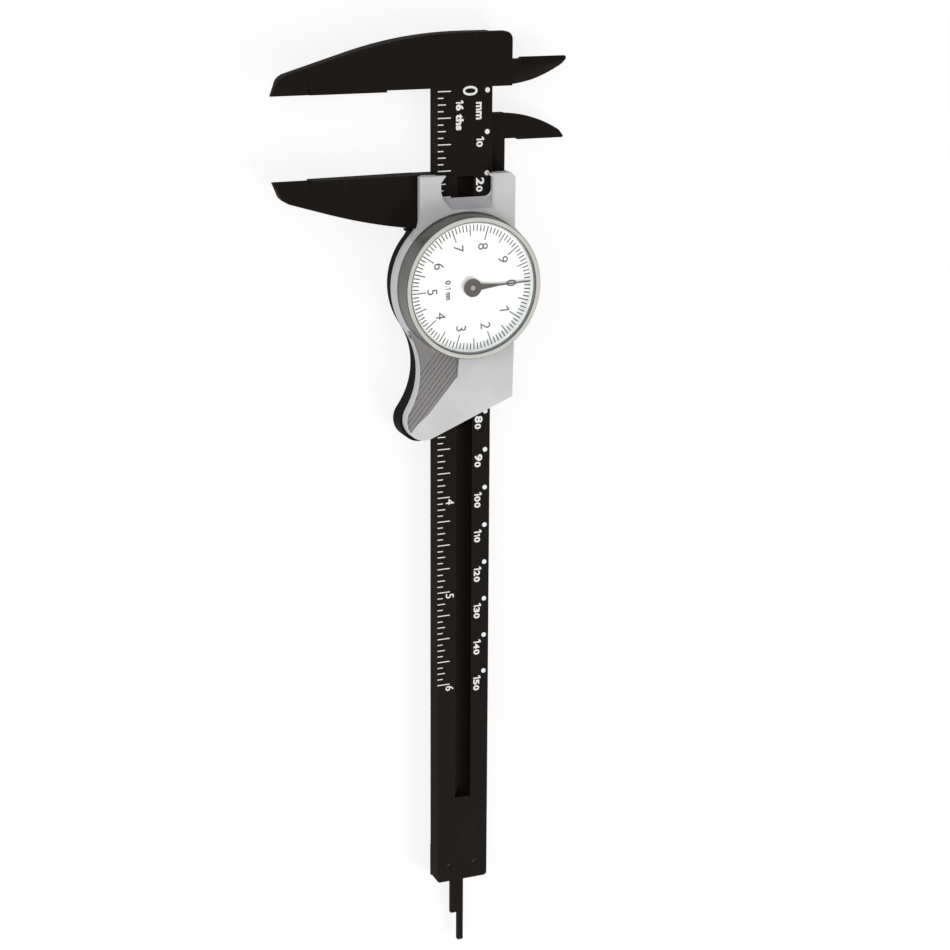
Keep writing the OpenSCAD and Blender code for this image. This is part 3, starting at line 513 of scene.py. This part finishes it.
@dataclass(frozen=True)
class ClearPlastic(Finish):
    """Moulded clear plastic, which lets light through and shows fine wipe marks."""

    refraction: float
    polish: float
    wiped: float

    wipe_mm: ClassVar[float] = 0.3
    wipe_stretch: ClassVar[Triple] = (0.05, 1.0, 1.0)
    wipe_turn: ClassVar[float] = 0.6
    wipe_range: ClassVar[Pair] = (0.6, 0.75)

    def surface(self, tree: Tree, place: Socket) -> Socket:
        """Adds the nodes of the surface.

        Args:
            tree: The material's node tree.
            place: Object coordinates.

        Returns:
            The shader's socket.
        """
        along = stretched(tree, place, self.wipe_stretch, self.wipe_turn)
        wipes = noise(tree, along, self.wipe_mm, detail=2.0)
        gloss = remap(tree, wipes, self.wipe_range, (self.polish, self.wiped))
        clear = {
            "[Base Color]": (1.0, 1.0, 1.0, 1.0),
            "[IOR]": self.refraction,
            "[Transmission Weight]": 1.0,
        }
        glass = add_node(tree, "ShaderNodeBsdfPrincipled", clear, {"Roughness": gloss}).outputs[0]
        # Light falls on what is under it as through air.
        through = add_node(tree, "ShaderNodeBsdfTransparent").outputs[0]
        shadow = add_node(tree, "ShaderNodeLightPath").outputs["Is Shadow Ray"]
        return add_node(tree, "ShaderNodeMixShader", {}, {0: shadow, 1: glass, 2: through}).outputs[0]


# Beam, jaws and rod: a warm black, sandy and nearly matt, since the grain's pits swallow part of the
# shine, and greyer where hands rub its edges
BLACK_NYLON = MouldedPlastic(
    "black_glass_filled_nylon", colour="#181310", worn="#3E3934", grain_mm=0.25, grain_depth=0.3,
    roughness=0.68, rub=0.2, edge_rub=0.45, shine=0.07,
)
# Cover: an even light grey with a soft satin shine
GREY_ABS = MouldedPlastic(
    "grey_abs", colour="#CFCDCC", worn="#E0DFDD", grain_mm=0.3, grain_depth=0.18,
    roughness=0.5, rub=0.2, edge_rub=0.6, shine=0.4,
)
# Thumb grip and the dial's seat: the same plastic with a coarser grain, matt and sandy; its darker tone
# is partly painted shade of the sloping grip and of the seat round the bezel's foot
GRIP_ABS_AND_PAINTED_SHADE = MouldedPlastic(
    "grey_abs_coarse_grain_and_painted_shade", colour="#908C8A", worn="#ABA8A4", grain_mm=0.35, grain_depth=0.5,
    roughness=0.66, rub=0.2, edge_rub=0.4, shine=0.25,
)
# Ramp behind the window: a finer grain, between the other two in tone; its darker tone is partly
# painted shade of the window's recessed pocket
RAMP_ABS_AND_PAINTED_SHADE = MouldedPlastic(
    "grey_abs_fine_grain_and_painted_shade", colour="#B3AEB0", worn="#C6C2C3", grain_mm=0.3, grain_depth=0.3,
    roughness=0.55, rub=0.2, edge_rub=0.4, shine=0.3,
)
# Bezel's wall: a dark, smooth grey that mirrors softly, with pale rubbed rims; its dark tone is partly
# painted shade
RIM_ABS_AND_PAINTED_SHADE = MouldedPlastic(
    "satin_rim_plastic_and_painted_shade", colour="#605E58", worn="#B9B4A9", grain_mm=0.4, grain_depth=0.05,
    roughness=0.28, rub=0.15, edge_rub=0.5, shine=0.5,
)
# Bezel's top: a painted highlight, a pale warm band in place of the light it catches
RIM_TOP_PAINTED_HIGHLIGHT = MouldedPlastic(
    "painted_highlight_bezel_top", colour="#CFCCC3", worn="#DEDBD2", grain_mm=0.4, grain_depth=0.04,
    roughness=0.25, rub=0.15, edge_rub=0.3, shine=0.6,
)
# Screws, spring, bridge and arbor: cool grey metal with tool lines
STEEL = Metal("plain_steel", colour="#A9ABAD", roughness=0.32, line_mm=0.1, line_depth=0.2)
# Pins at the beam's end: dark metal that hardly shines
BLACK_STEEL = Metal("blackened_steel", colour="#2B2725", roughness=0.5, line_mm=0.1, line_depth=0.2)
# Bushes and pinion: warm yellow metal with turning marks
BRASS = Metal("turned_brass", colour="#C9A860", roughness=0.28, line_mm=0.1, line_depth=0.2)
# Dial and the ring on it: bright, smooth, slightly warm white
DIAL_CARD = PrintedInk("white_lacquered_dial", colour="#F6F5F1", thin="#EFEDE8", roughness=0.45)
# Print on the beam: flat white that the black shows through in tiny spots
WHITE_INK = PrintedInk("white_pad_print", colour="#F1F0EC", thin="#A8A6A2")
# Print on the dial: flat dark brown-grey, paler in tiny spots
DARK_INK = PrintedInk("dark_pad_print", colour="#3B3631", thin="#7A756F")
# Pointer: smooth dark brown with a soft shine
POINTER_LACQUER = PrintedInk("brown_pointer_lacquer", colour="#3F332D", thin="#57483F", roughness=0.35)
# Crystal: clear and mirror-smooth, a little dulled by wiping
CRYSTAL_ACRYLIC = ClearPlastic("clear_acrylic", refraction=1.49, polish=0.02, wiped=0.12)


class Finishes:
    """Every material of the caliper, made once."""

    def __init__(self) -> None:
        """Makes the materials."""
        self.black = BLACK_NYLON.make()
        self.grey = GREY_ABS.make()
        # The grip's darker finish is partly painted shade.
        self.grip = GRIP_ABS_AND_PAINTED_SHADE.make()
        # The ramp's darker finish is partly painted shade.
        self.ramp = RAMP_ABS_AND_PAINTED_SHADE.make()
        # The bezel wall's dark finish is partly painted shade.
        self.rim = RIM_ABS_AND_PAINTED_SHADE.make()
        self.rim_top = RIM_TOP_PAINTED_HIGHLIGHT.make()
        self.steel = STEEL.make()
        self.black_steel = BLACK_STEEL.make()
        self.brass = BRASS.make()
        self.card = DIAL_CARD.make()
        self.white_ink = WHITE_INK.make()
        self.dark_ink = DARK_INK.make()
        self.pointer = POINTER_LACQUER.make()
        self.crystal = CRYSTAL_ACRYLIC.make()


@dataclass(frozen=True)
class Glyph:
    """One character or syllable of a printed row, with its size and the gap after it."""

    text: str
    height: float
    width: float
    gap: float = 0.2 * MM


@dataclass(frozen=True)
class Legend:
    """A short printed row with its place.

    The corner is the row's lower left one in millimetres from the scale's or the dial's origin, and the
    weight is how much bolder the row is than the plain face, as a share of its height.
    """

    glyphs: tuple[Glyph, ...]
    corner: Pair
    weight: float


ZERO_LEGEND = Legend((Glyph("0", 3.8 * MM, 2.3 * MM),), corner=(-1.1, -0.6), weight=0.005)
UNIT_LEGEND = Legend((Glyph("mm", 1.5 * MM, 4.2 * MM),), corner=(2.8, 2.8), weight=0.035)
SIXTEENTHS_LEGEND = Legend(
    (
        Glyph("1", 2.0 * MM, 0.8 * MM),
        Glyph("6", 2.0 * MM, 1.5 * MM, 0.8 * MM),
        Glyph("ths", 2.0 * MM, 3.9 * MM),
    ),
    corner=(2.2, -2.4),
    weight=0.045,
)
DIVISION_LEGEND = Legend(
    (
        Glyph("0", 1.45 * MM, 1.05 * MM),
        Glyph(".", 0.3 * MM, 0.3 * MM),
        Glyph("1", 1.45 * MM, 0.5 * MM, 0.7 * MM),
        Glyph("mm", 1.1 * MM, 1.95 * MM),
    ),
    corner=(-2.45, -6.95),
    weight=0.04,
)


@dataclass
class Printer:
    """Makes printed marks: thin closed shapes that lie on a surface."""

    thickness: float = 0.02 * MM
    # How far a mark's edges are drawn in, as a share of its thickness
    drawn_in: float = 0.4
    dot_sides: int = 28
    curve_steps: int = 4
    # Depth of the letters before they are scaled to the ink's thickness
    raw_depth: float = 1.0
    # The flag of a 1, on letters of size 1: its middle from the stroke's left side and top, its length,
    # slant and depth, and its width as a share of the stroke's
    flag_left: float = 0.09
    flag_drop: float = 0.115
    flag_length: float = 0.3
    flag_slant: float = math.radians(38)
    flag_depth: float = 0.9
    flag_width_share: float = 0.85

    def bar(self, centre: Vector, length: float, width: float) -> Piece:
        """Prints a bar along Y.

        Args:
            centre: The bar's middle, on the surface.
            length: Its size along Y.
            width: Its size along X.

        Returns:
            The bar, a thin box.
        """
        deselect()
        middle = centre + Vector((0, 0, self.thickness / 2))
        size = (width, length, self.thickness)
        bpy.ops.mesh.primitive_cube_add(size=1, location=middle, scale=size)
        return self.draw_in(settle(bpy.context.object))

    def dot(self, centre: Vector, radius: float) -> Piece:
        """Prints a round dot.

        Args:
            centre: The dot's middle, on the surface.
            radius: Its radius.

        Returns:
            The dot, a thin disc.
        """
        deselect()
        middle = centre + Vector((0, 0, self.thickness / 2))
        bpy.ops.mesh.primitive_cylinder_add(
            vertices=self.dot_sides, radius=radius, depth=self.thickness, location=middle
        )
        return self.draw_in(settle(bpy.context.object))

    def draw_in(self, mark: Piece) -> Piece:
        """Draws a mark's edges in, as ink pulls in when it dries.

        Args:
            mark: The mark, which is the active piece.

        Returns:
            The same mark.
        """
        bpy.ops.object.mode_set(mode="EDIT")
        bpy.ops.mesh.select_all(action="SELECT")
        bpy.ops.mesh.bevel(offset=self.thickness * self.drawn_in, segments=1, affect="EDGES")
        bpy.ops.object.mode_set(mode="OBJECT")
        return mark

    def word(
        self, text: str, corner: Vector, height: float, weight: float, width: float | None = None
    ) -> Piece:
        """Prints a number or a unit.

        Args:
            text: What it says.
            corner: Its lower left corner, on the surface.
            height: Height of its tallest character.
            weight: How much bolder it is than the plain face, as a share of its height.
            width: Its whole width, or None for its natural width.

        Returns:
            The word as a thin closed mesh.
        """
        deselect()
        bpy.ops.object.text_add(location=(0, 0, 0))
        letters = bpy.context.object
        letters.data.body = text
        letters.data.size = 1.0
        letters.data.offset = weight
        letters.data.resolution_u = self.curve_steps
        letters.data.extrude = self.raw_depth / 2
        bpy.ops.object.convert(target="MESH")
        piece = self.flagged(bpy.context.object) if text == "1" else bpy.context.object
        points = [v.co for v in piece.data.vertices]
        low = Vector(min(p[i] for p in points) for i in range(3))
        high = Vector(max(p[i] for p in points) for i in range(3))
        tall = height / (high.y - low.y)
        wide = tall if width is None else width / (high.x - low.x)
        piece.data.transform(
            Matrix.Translation(corner)
            @ Matrix.Diagonal((wide, tall, self.thickness / (high.z - low.z), 1.0))
            @ Matrix.Translation(-low)
        )
        return piece

    def flagged(self, one: Piece) -> Piece:
        """Adds the slanted flag that the type face leaves off its 1.

        Args:
            one: The mesh of a 1, a plain stroke.

        Returns:
            The stroke with its flag.
        """
        left = min(v.co.x for v in one.data.vertices)
        right = max(v.co.x for v in one.data.vertices)
        top = max(v.co.y for v in one.data.vertices)
        deselect()
        bpy.ops.mesh.primitive_cube_add(
            size=1,
            location=(left - self.flag_left, top - self.flag_drop, 0),
            rotation=(0, 0, self.flag_slant),
            scale=(self.flag_length, (right - left) * self.flag_width_share, self.flag_depth),
        )
        return join("one", [one, bpy.context.object])

    def row(self, glyphs: tuple[Glyph, ...], corner: Vector, weight: float) -> list[Piece]:
        """Prints glyphs one after another on one line.

        Args:
            glyphs: What to print, from left to right.
            corner: The row's lower left corner, on the surface.
            weight: How much bolder the glyphs are than the plain face, as a share of their height.

        Returns:
            One piece for each glyph.
        """
        start = corner.copy()
        pieces = []
        for glyph in glyphs:
            pieces.append(self.word(glyph.text, start, glyph.height, weight, glyph.width))
            start.x += glyph.width + glyph.gap
        return pieces

    def legend(self, legend: Legend, origin: Vector) -> list[Piece]:
        """Prints a legend in its place, measured from the scale's or the dial's origin."""
        return self.row(legend.glyphs, origin + Vector((*legend.corner, 0)) * MM, legend.weight)


@dataclass
class BeamScale:
    """White print on the beam: millimetre numbers with dots, and inches with sixteenths."""

    printer: Printer
    tick_width: float = 0.25 * MM
    # Where the inch ticks start, at the beam's edge, and where they end
    edge: float = -7.05 * MM
    quarter_end: float = -3.7 * MM
    eighth_end: float = -5.0 * MM
    sixteenth_end: float = -5.6 * MM
    ticks_per_quarter: int = 4
    ticks_per_eighth: int = 2
    dot_line: float = 5.79 * MM
    dot_radius: float = 0.62 * MM
    number_line: float = 2.95 * MM
    number_gap: float = 1.1 * MM
    number_height: float = 2.1 * MM
    number_weight: float = 0.035
    # A number's later digits as a share of its first, and each digit's width as a share of its height
    small_share: float = 0.8
    one_width_share: float = 0.43
    digit_width_share: float = 0.85
    inch_line: float = -4.8 * MM
    inch_gap: float = 0.5 * MM
    inch_height: float = 2.2 * MM
    inch_weight: float = 0.005
    marks: list[Piece] = field(default_factory=list)

    def build(self, zero: Vector) -> Piece:
        """Prints the beam.

        Args:
            zero: The point on the beam's face where the zero line crosses its centre line.

        Returns:
            All the white print as one piece.
        """
        self.ticks(zero)
        self.numbers(zero)
        return join("beam_print", self.marks)

    def ticks(self, zero: Vector) -> None:
        """Prints the inch scale's ticks from the beam's edge inwards.

        Args:
            zero: The scale's origin.
        """
        ends = {
            Division.MAIN: self.quarter_end,
            Division.MIDDLE: self.eighth_end,
            Division.FINE: self.sixteenth_end,
        }
        for k in range(SCALE_LENGTH_IN * TICKS_PER_INCH + 1):
            end = ends[Division.of(k, self.ticks_per_quarter, self.ticks_per_eighth)]
            middle = zero + Vector((k * INCH / TICKS_PER_INCH, (self.edge + end) / 2, 0))
            self.marks.append(self.printer.bar(middle, end - self.edge, self.tick_width))

    def numbers(self, zero: Vector) -> None:
        """Prints the numbers, their dots and the units.

        Args:
            zero: The scale's origin.
        """
        for legend in (ZERO_LEGEND, UNIT_LEGEND, SIXTEENTHS_LEGEND):
            self.marks += self.printer.legend(legend, zero)
        for value in range(0, SCALE_LENGTH_MM + 1, NUMBER_STEP_MM):
            place = zero + Vector((value * MM, self.dot_line, 0))
            self.marks.append(self.printer.dot(place, self.dot_radius))
            if value:
                corner = zero + Vector((value * MM + self.number_gap, self.number_line, 0))
                self.marks += self.printer.row(self.digits(value), corner, self.number_weight)
        for inch in range(1, SCALE_LENGTH_IN + 1):
            corner = zero + Vector((inch * INCH + self.inch_gap, self.inch_line, 0))
            self.marks.append(self.printer.word(str(inch), corner, self.inch_height, self.inch_weight))

    def digits(self, value: int) -> tuple[Glyph, ...]:
        """Sets a number with its first digit taller than the rest.

        Args:
            value: The number.

        Returns:
            Its digits from left to right.
        """
        row = []
        for place, digit in enumerate(str(value)):
            tall = self.number_height * (self.small_share if place else 1.0)
            share = self.one_width_share if digit == "1" else self.digit_width_share
            row.append(Glyph(digit, tall, tall * share))
        return tuple(row)


@dataclass
class DialFace:
    """Dark print on the dial: a hundred divisions, ten numbers and the value of one division."""

    printer: Printer
    divisions: int = 100
    numbers: int = 10
    divisions_per_five: int = 5
    outer: float = 15.5 * MM
    unit_inner: float = 13.9 * MM
    five_inner: float = 12.7 * MM
    ten_inner: float = 12.0 * MM
    tick_width: float = 0.28 * MM
    number_radius: float = 10.4 * MM
    number_height: float = 2.6 * MM
    # How far the dial's zero stands off the +Y axis, anticlockwise
    turn: float = math.radians(2.3)

    def build(self, centre: Vector) -> Piece:
        """Prints the dial.

        Args:
            centre: The dial's middle, on its face.

        Returns:
            All the dark print as one piece.
        """
        marks = self.ticks(centre) + self.figures(centre)
        for word in self.printer.legend(DIVISION_LEGEND, centre):
            self.swing(word, centre, self.turn)
            marks.append(word)
        return join("dial_print", marks)

    def ticks(self, centre: Vector) -> list[Piece]:
        """Prints the ring of divisions.

        Args:
            centre: The dial's middle, on its face.

        Returns:
            One piece for each division.
        """
        inners = {
            Division.MAIN: self.ten_inner,
            Division.MIDDLE: self.five_inner,
            Division.FINE: self.unit_inner,
        }
        per_number = self.divisions // self.numbers
        marks = []
        for k in range(self.divisions):
            inner = inners[Division.of(k, per_number, self.divisions_per_five)]
            middle = centre + Vector((0, (inner + self.outer) / 2, 0))
            tick = self.printer.bar(middle, self.outer - inner, self.tick_width)
            self.swing(tick, centre, self.turn - math.radians(360 / self.divisions * k))
            marks.append(tick)
        return marks

    def figures(self, centre: Vector) -> list[Piece]:
        """Prints the ring of numbers, all upright to the dial's zero.

        Args:
            centre: The dial's middle, on its face.

        Returns:
            One piece for each number.
        """
        marks = []
        for digit in range(self.numbers):
            angle = self.turn - math.radians(360 / self.numbers * digit)
            middle = centre + Vector((-math.sin(angle), math.cos(angle), 0)) * self.number_radius
            word = self.printer.word(str(digit), middle, self.number_height, weight=0.0)
            self.centre_on(word, middle)
            self.swing(word, middle, self.turn)
            marks.append(word)
        return marks

    def centre_on(self, word: Piece, middle: Vector) -> None:
        """Moves a word along the dial so that its box is centred on a point.

        Args:
            word: The word's mesh piece.
            middle: Where its centre goes.
        """
        xs = [v.co.x for v in word.data.vertices]
        ys = [v.co.y for v in word.data.vertices]
        shift = Vector((middle.x - (min(xs) + max(xs)) / 2, middle.y - (min(ys) + max(ys)) / 2, 0))
        word.data.transform(Matrix.Translation(shift))

    def swing(self, piece: Piece, pivot: Vector, angle: float) -> None:
        """Turns a mark about a point of the dial, anticlockwise seen from the front."""
        turned = Matrix.Translation(pivot) @ Matrix.Rotation(angle, 4, "Z") @ Matrix.Translation(-pivot)
        piece.data.transform(turned)


@dataclass
class RoundedMoulding:
    """A moulding whose edges are rounded as its mould's are."""

    node: str
    body: str
    slot: str
    radius: float = 0.22 * MM
    least_angle: float = 38.0
    steps: int = 2
    # Points closer than this are one, and faces that meet at less than this angle are one flat face
    same_point: float = 0.001 * MM
    flat_angle: float = 0.5
    smooth_angle: float = 32.0

    def build(self, source: Piece, finish: bpy.types.Material) -> Piece:
        """Copies the CAD node and rounds its edges.

        Args:
            source: The CAD node's object.
            finish: The moulding's material.

        Returns:
            The rounded piece, riding on its body in the node's place.
        """
        deselect()
        piece = bpy.data.objects.new(self.node + "_moulding", source.data.copy())
        bpy.context.scene.collection.objects.link(piece)
        pick(piece)
        bpy.ops.object.mode_set(mode="EDIT")
        bpy.ops.mesh.select_all(action="SELECT")
        bpy.ops.mesh.remove_doubles(threshold=self.same_point)
        bpy.ops.mesh.dissolve_limited(angle_limit=math.radians(self.flat_angle))
        bpy.ops.object.mode_set(mode="OBJECT")
        rounding = piece.modifiers.new("rounding", "BEVEL")
        rounding.width = self.radius
        rounding.segments = self.steps
        rounding.limit_method = "ANGLE"
        rounding.angle_limit = math.radians(self.least_angle)
        rounding.use_clamp_overlap = True
        rounding.harden_normals = False
        apply_modifiers(piece)
        smooth(piece, self.smooth_angle)
        # Flat faces keep their own normals, and only the rounding bends the light.
        level = piece.modifiers.new("level", "WEIGHTED_NORMAL")
        level.mode = "FACE_AREA"
        level.keep_sharp = True
        apply_modifiers(piece)
        wear(piece, finish)
        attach(piece, self.body)
        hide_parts(self.node)
        return piece


@dataclass(frozen=True)
class CoarseZones:
    """Where the cover's mould is left coarser and darker: thumb grip, bezel's seat and window's ramp,
    whose darker tones are partly painted shade.
    """

    grip_corner: Vector = field(default_factory=lambda: Vector((22.8, -2.2, 8.2)) * MM)
    grip_angle: float = math.radians(39.4)
    grip_slope: float = math.radians(5.5)
    grip_start: float = 11.5 * MM
    grip_depth: float = 0.2 * MM
    seat_radius: float = 18.15 * MM
    seat_depth: float = 0.5 * MM
    seat_play: float = 0.05 * MM
    ramp_start: float = -23.4 * MM
    ramp_end: float = -18.6 * MM
    half_width: float = 7.0 * MM
    # What a normal's upright part is at least on a face that looks up, and on one that lies flat
    up: float = 0.3
    flat: float = 0.99
    # What a normal's level part is at least on a face that slopes
    sloped: float = 0.2

    def dress(self, cover: Piece, coarse_and_shaded: bpy.types.Material, fine: bpy.types.Material) -> int:
        """Gives the coarser faces of the cover their own darker finishes, which are partly painted
        shade.

        Args:
            cover: The cover's piece, dressed in its plain finish.
            coarse_and_shaded: The finish of the grip and the seat.
            fine: The finish of the ramp, partly painted shade.

        Returns:
            How many faces took one of them.
        """
        cover.data.materials.append(coarse_and_shaded)
        cover.data.materials.append(fine)
        count = 0
        for face in cover.data.polygons:
            if face.normal.z < self.up:
                continue
            if self.in_grip(face) or self.on_seat(face):
                face.material_index = 1
                count += 1
            elif self.on_ramp(face):
                face.material_index = 2
                count += 1
        return count

    def in_grip(self, face: bpy.types.MeshPolygon) -> bool:
        """Tells whether a face belongs to the grip's floor or its grooves.

        Args:
            face: A face that looks up.

        Returns:
            True below the sloping rim, past the grip's border and outside the dial's seat, unless the
            face falls towards the cover's tail.
        """
        point = face.center
        offset = point - self.grip_corner
        past_border = -offset.x * math.sin(self.grip_angle) - offset.y * math.cos(self.grip_angle)
        below_rim = -offset.z - past_border * math.tan(self.grip_slope)
        tail = face.normal.z > self.flat and face.normal.x > 0
        beside_dial = point.x > self.grip_start and point.xy.length > self.seat_radius
        return past_border > 0 and below_rim > self.grip_depth and beside_dial and not tail

    def on_seat(self, face: bpy.types.MeshPolygon) -> bool:
        """Tells whether a face that looks up is the floor of the bezel's seat."""
        depth = self.grip_corner.z - face.center.z
        return face.normal.z > self.flat and abs(depth - self.seat_depth) < self.seat_play

    def on_ramp(self, face: bpy.types.MeshPolygon) -> bool:
        """Tells whether a face belongs to the ramp behind the window.

        Args:
            face: A face that looks up.

        Returns:
            True if it slopes towards the window in the ramp's place.
        """
        point = face.center
        towards_window = face.normal.x < -self.sloped and abs(face.normal.y) < self.sloped
        in_place = self.ramp_start < point.x < self.ramp_end and abs(point.y) < self.half_width
        return towards_window and in_place


@dataclass(frozen=True)
class Lamp:
    """A soft square lamp that looks at the caliper."""

    name: str
    place: Triple
    size: float
    power: float
    tint: Triple = (1.0, 1.0, 1.0)

    def hang(self) -> None:
        """Hangs the lamp in its place."""
        data = bpy.data.lights.new(self.name, "AREA")
        data.color = self.tint
        data.size = self.size
        data.energy = self.power
        lamp = bpy.data.objects.new(self.name, data)
        bpy.context.scene.collection.objects.link(lamp)
        lamp.location = self.place
        lamp.rotation_mode = "QUATERNION"
        lamp.rotation_quaternion = (-Vector(self.place)).to_track_quat("-Z", "Y")


@dataclass
class Studio:
    """Camera, floor and light."""

    # Camera fitted to the photograph, in the part's frame
    camera_at: Vector = field(default_factory=lambda: Vector((-103.98, -192.59, 484.48)) * MM)
    right: Vector = field(default_factory=lambda: Vector((-0.005639, 0.925960, 0.377579)))
    down: Vector = field(default_factory=lambda: Vector((0.958546, -0.102564, 0.265839)))
    forward: Vector = field(default_factory=lambda: Vector((0.284882, 0.363426, -0.886997)))
    lens_mm: float = 80.59
    sensor_mm: float = 36.0
    near: float = 0.01
    far: float = 20.0
    floor_size: float = 40.0
    floor_drop: float = 0.02 * MM
    floor_glow: float = 1.04
    # The share of white background that the camera sees. On the floor a fifth of its own look stays,
    # which keeps the caliper's shadow.
    floor_share: float = 0.8
    world_share: float = 1.0
    # Black walls mirror what is round them, so mirroring rays get less of the background.
    mirror_share: float = 0.35
    # Levels that add up to about one on a face that looks up, so that a colour renders as it is written
    sky_level: float = 0.54
    lamps: tuple[Lamp, ...] = (
        Lamp("key_lamp", place=(0.65, 0.6, 0.62), size=0.5, power=5.6),
        Lamp("fill_lamp", place=(-0.3, -0.9, 0.7), size=0.7, power=4.0, tint=(0.82, 0.93, 1.0)),
    )

    def build(self) -> None:
        """Sets up everything that isn't the caliper."""
        self.camera()
        self.floor()
        self.light()
        bpy.context.scene.view_settings.view_transform = "Standard"

    def camera(self) -> None:
        """Places the camera."""
        data = bpy.data.cameras.new("camera")
        data.lens = self.lens_mm
        data.sensor_width = self.sensor_mm
        data.clip_start = self.near
        data.clip_end = self.far
        camera = bpy.data.objects.new("camera", data)
        bpy.context.scene.collection.objects.link(camera)
        turn = Matrix((self.right, -self.down, -self.forward)).transposed().to_4x4()
        camera.matrix_world = Matrix.Translation(self.camera_at) @ turn
        bpy.context.scene.camera = camera

    def floor(self) -> None:
        """Lays a pale floor under the caliper."""
        deselect()
        bpy.ops.mesh.primitive_plane_add(size=self.floor_size, location=(0, 0, -self.floor_drop))
        floor = bpy.context.object
        floor.name = "floor"
        material, tree = new_material("pale_floor")
        matt = {"[Base Color]": srgb("#F4F4F4"), "[Roughness]": 0.9}
        base = add_node(tree, "ShaderNodeBsdfPrincipled", matt).outputs[0]
        white = {"[Color]": (1.0, 1.0, 1.0, 1.0), "[Strength]": self.floor_glow}
        glow = add_node(tree, "ShaderNodeEmission", white).outputs[0]
        seen = self.background_share(tree, self.floor_share)
        mix = add_node(tree, "ShaderNodeMixShader", {}, {0: seen, 1: base, 2: glow}).outputs[0]
        add_node(tree, "ShaderNodeOutputMaterial", {}, {"Surface": mix})
        wear(floor, material)

    def background_share(self, tree: Tree, camera_share: float) -> Socket:
        """Says how much of a plain white background a ray sees.

        Args:
            tree: The node tree of a material or of the world.
            camera_share: The share that the camera sees.

        Returns:
            The share's socket, 0 for the rays that light the object.
        """
        ray = add_node(tree, "ShaderNodeLightPath").outputs
        mirrored = combine(tree, "MAXIMUM", ray["Is Glossy Ray"], ray["Is Transmission Ray"])
        mirror = combine(tree, "MULTIPLY", mirrored, self.mirror_share)
        camera = combine(tree, "MULTIPLY", ray["Is Camera Ray"], camera_share)
        return combine(tree, "MAXIMUM", camera, mirror)

    def light(self) -> None:
        """Sets the world's even light and hangs the lamps."""
        world = bpy.data.worlds.new("studio")
        bpy.context.scene.world = world
        world.use_nodes = True
        tree = world.node_tree
        sky = tree.nodes["Background"]
        sky.inputs["Color"].default_value = (1.0, 1.0, 1.0, 1.0)
        level = remap(tree, self.background_share(tree, self.world_share), target=(self.sky_level, 1.0))
        tree.links.new(level, sky.inputs["Strength"])
        for lamp in self.lamps:
            lamp.hang()


class Caliper:
    """The whole caliper: dressed CAD nodes, rounded mouldings and print."""

    # What a normal's upright part is more than on the bezel's top
    bezel_top: ClassVar[float] = 0.95

    def __init__(self, frame: dict) -> None:
        """Keeps the frame's nodes and makes the finishes."""
        self.nodes: dict[str, Piece] = frame["nodes"]
        self.finishes = Finishes()

    def dress_nodes(self) -> None:
        """Gives every CAD node its finish."""
        f = self.finishes
        dress = {
            f.black: ["beam", "gear_rack", "end_plate", "slider_body", "depth_rod"],
            f.grey: ["slider_cover"],
            f.rim: ["bezel", "bezel_sleeve"],
            f.steel: ["cover_screws", "bridge_screws", "rod_pins", "guide_spring"]
            + ["bridge", "brake_ring", "arbor"],
            f.black_steel: ["end_pins"],
            f.brass: ["lower_bush", "upper_bush", "pinion"],
            f.card: ["dial_plate", "dial_spacer"],
            f.crystal: ["crystal"],
            f.pointer: ["pointer"],
        }
        for material, names in dress.items():
            for name in names:
                wear(self.nodes[name], material)
                smooth(self.nodes[name])
                LOG.info("dressed %s with %s", name, material.name)

    def round_mouldings(self) -> None:
        """Rounds the edges of the big mouldings and of the bezel, and dresses their special faces."""
        f = self.finishes
        bezel = RoundedMoulding("bezel", "rim", "rim_plastic", radius=0.16 * MM, least_angle=30.0)
        plan = [
            (RoundedMoulding("beam", "beam", "black_plastic"), f.black),
            (RoundedMoulding("slider_body", "slider", "black_plastic"), f.black),
            (RoundedMoulding("slider_cover", "slider", "grey_plastic"), f.grey),
            (bezel, f.rim),
        ]
        for moulding, finish in plan:
            piece = moulding.build(self.nodes[moulding.node], finish)
            LOG.info("rounded %s: %d faces", piece.name, len(piece.data.polygons))
            if moulding.node == "slider_cover":
                # The grip, the bezel's seat and the window's ramp take darker finishes that are partly
                # painted shade.
                count = CoarseZones().dress(piece, f.grip, f.ramp)
                LOG.info("coarse faces of the cover: %d", count)
            if moulding.node == "bezel":
                # The bezel's top takes a painted highlight.
                self.polish_top(piece)

    def polish_top(self, bezel: Piece) -> None:
        """Paints a highlight on the bezel's narrow top as a paler, glossier finish.

        Args:
            bezel: The bezel's piece, dressed in its plain finish.
        """
        bezel.data.materials.append(self.finishes.rim_top)
        for face in bezel.data.polygons:
            face.material_index = int(face.normal.z > self.bezel_top)

    def print_marks(self) -> None:
        """Prints the beam and the dial."""
        beam_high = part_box("beam")[1]
        plate_low, plate_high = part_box("end_plate")
        # The end plate lies on the beam's centre line.
        centre_line = (plate_low.y + plate_high.y) / 2
        zero = Vector((beam_high.x - BEAM_LENGTH, centre_line, beam_high.z))
        scale = BeamScale(Printer()).build(zero)
        wear(scale, self.finishes.white_ink)
        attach(scale, "beam")
        LOG.info("printed %s", scale.name)
        dial_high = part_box("dial_plate")[1]
        face = DialFace(Printer()).build(Vector((0, 0, dial_high.z)))
        wear(face, self.finishes.dark_ink)
        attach(face, "rim")
        LOG.info("printed %s", face.name)


def main() -> None:
    """Builds the scene."""
    logging.basicConfig(level=logging.INFO, format="%(name)s: %(message)s")
    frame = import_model()
    caliper = Caliper(frame)
    caliper.dress_nodes()
    caliper.round_mouldings()
    caliper.print_marks()
    Studio().build()
    deselect()
    bpy.context.view_layer.update()


if __name__ == "__main__":
    main()
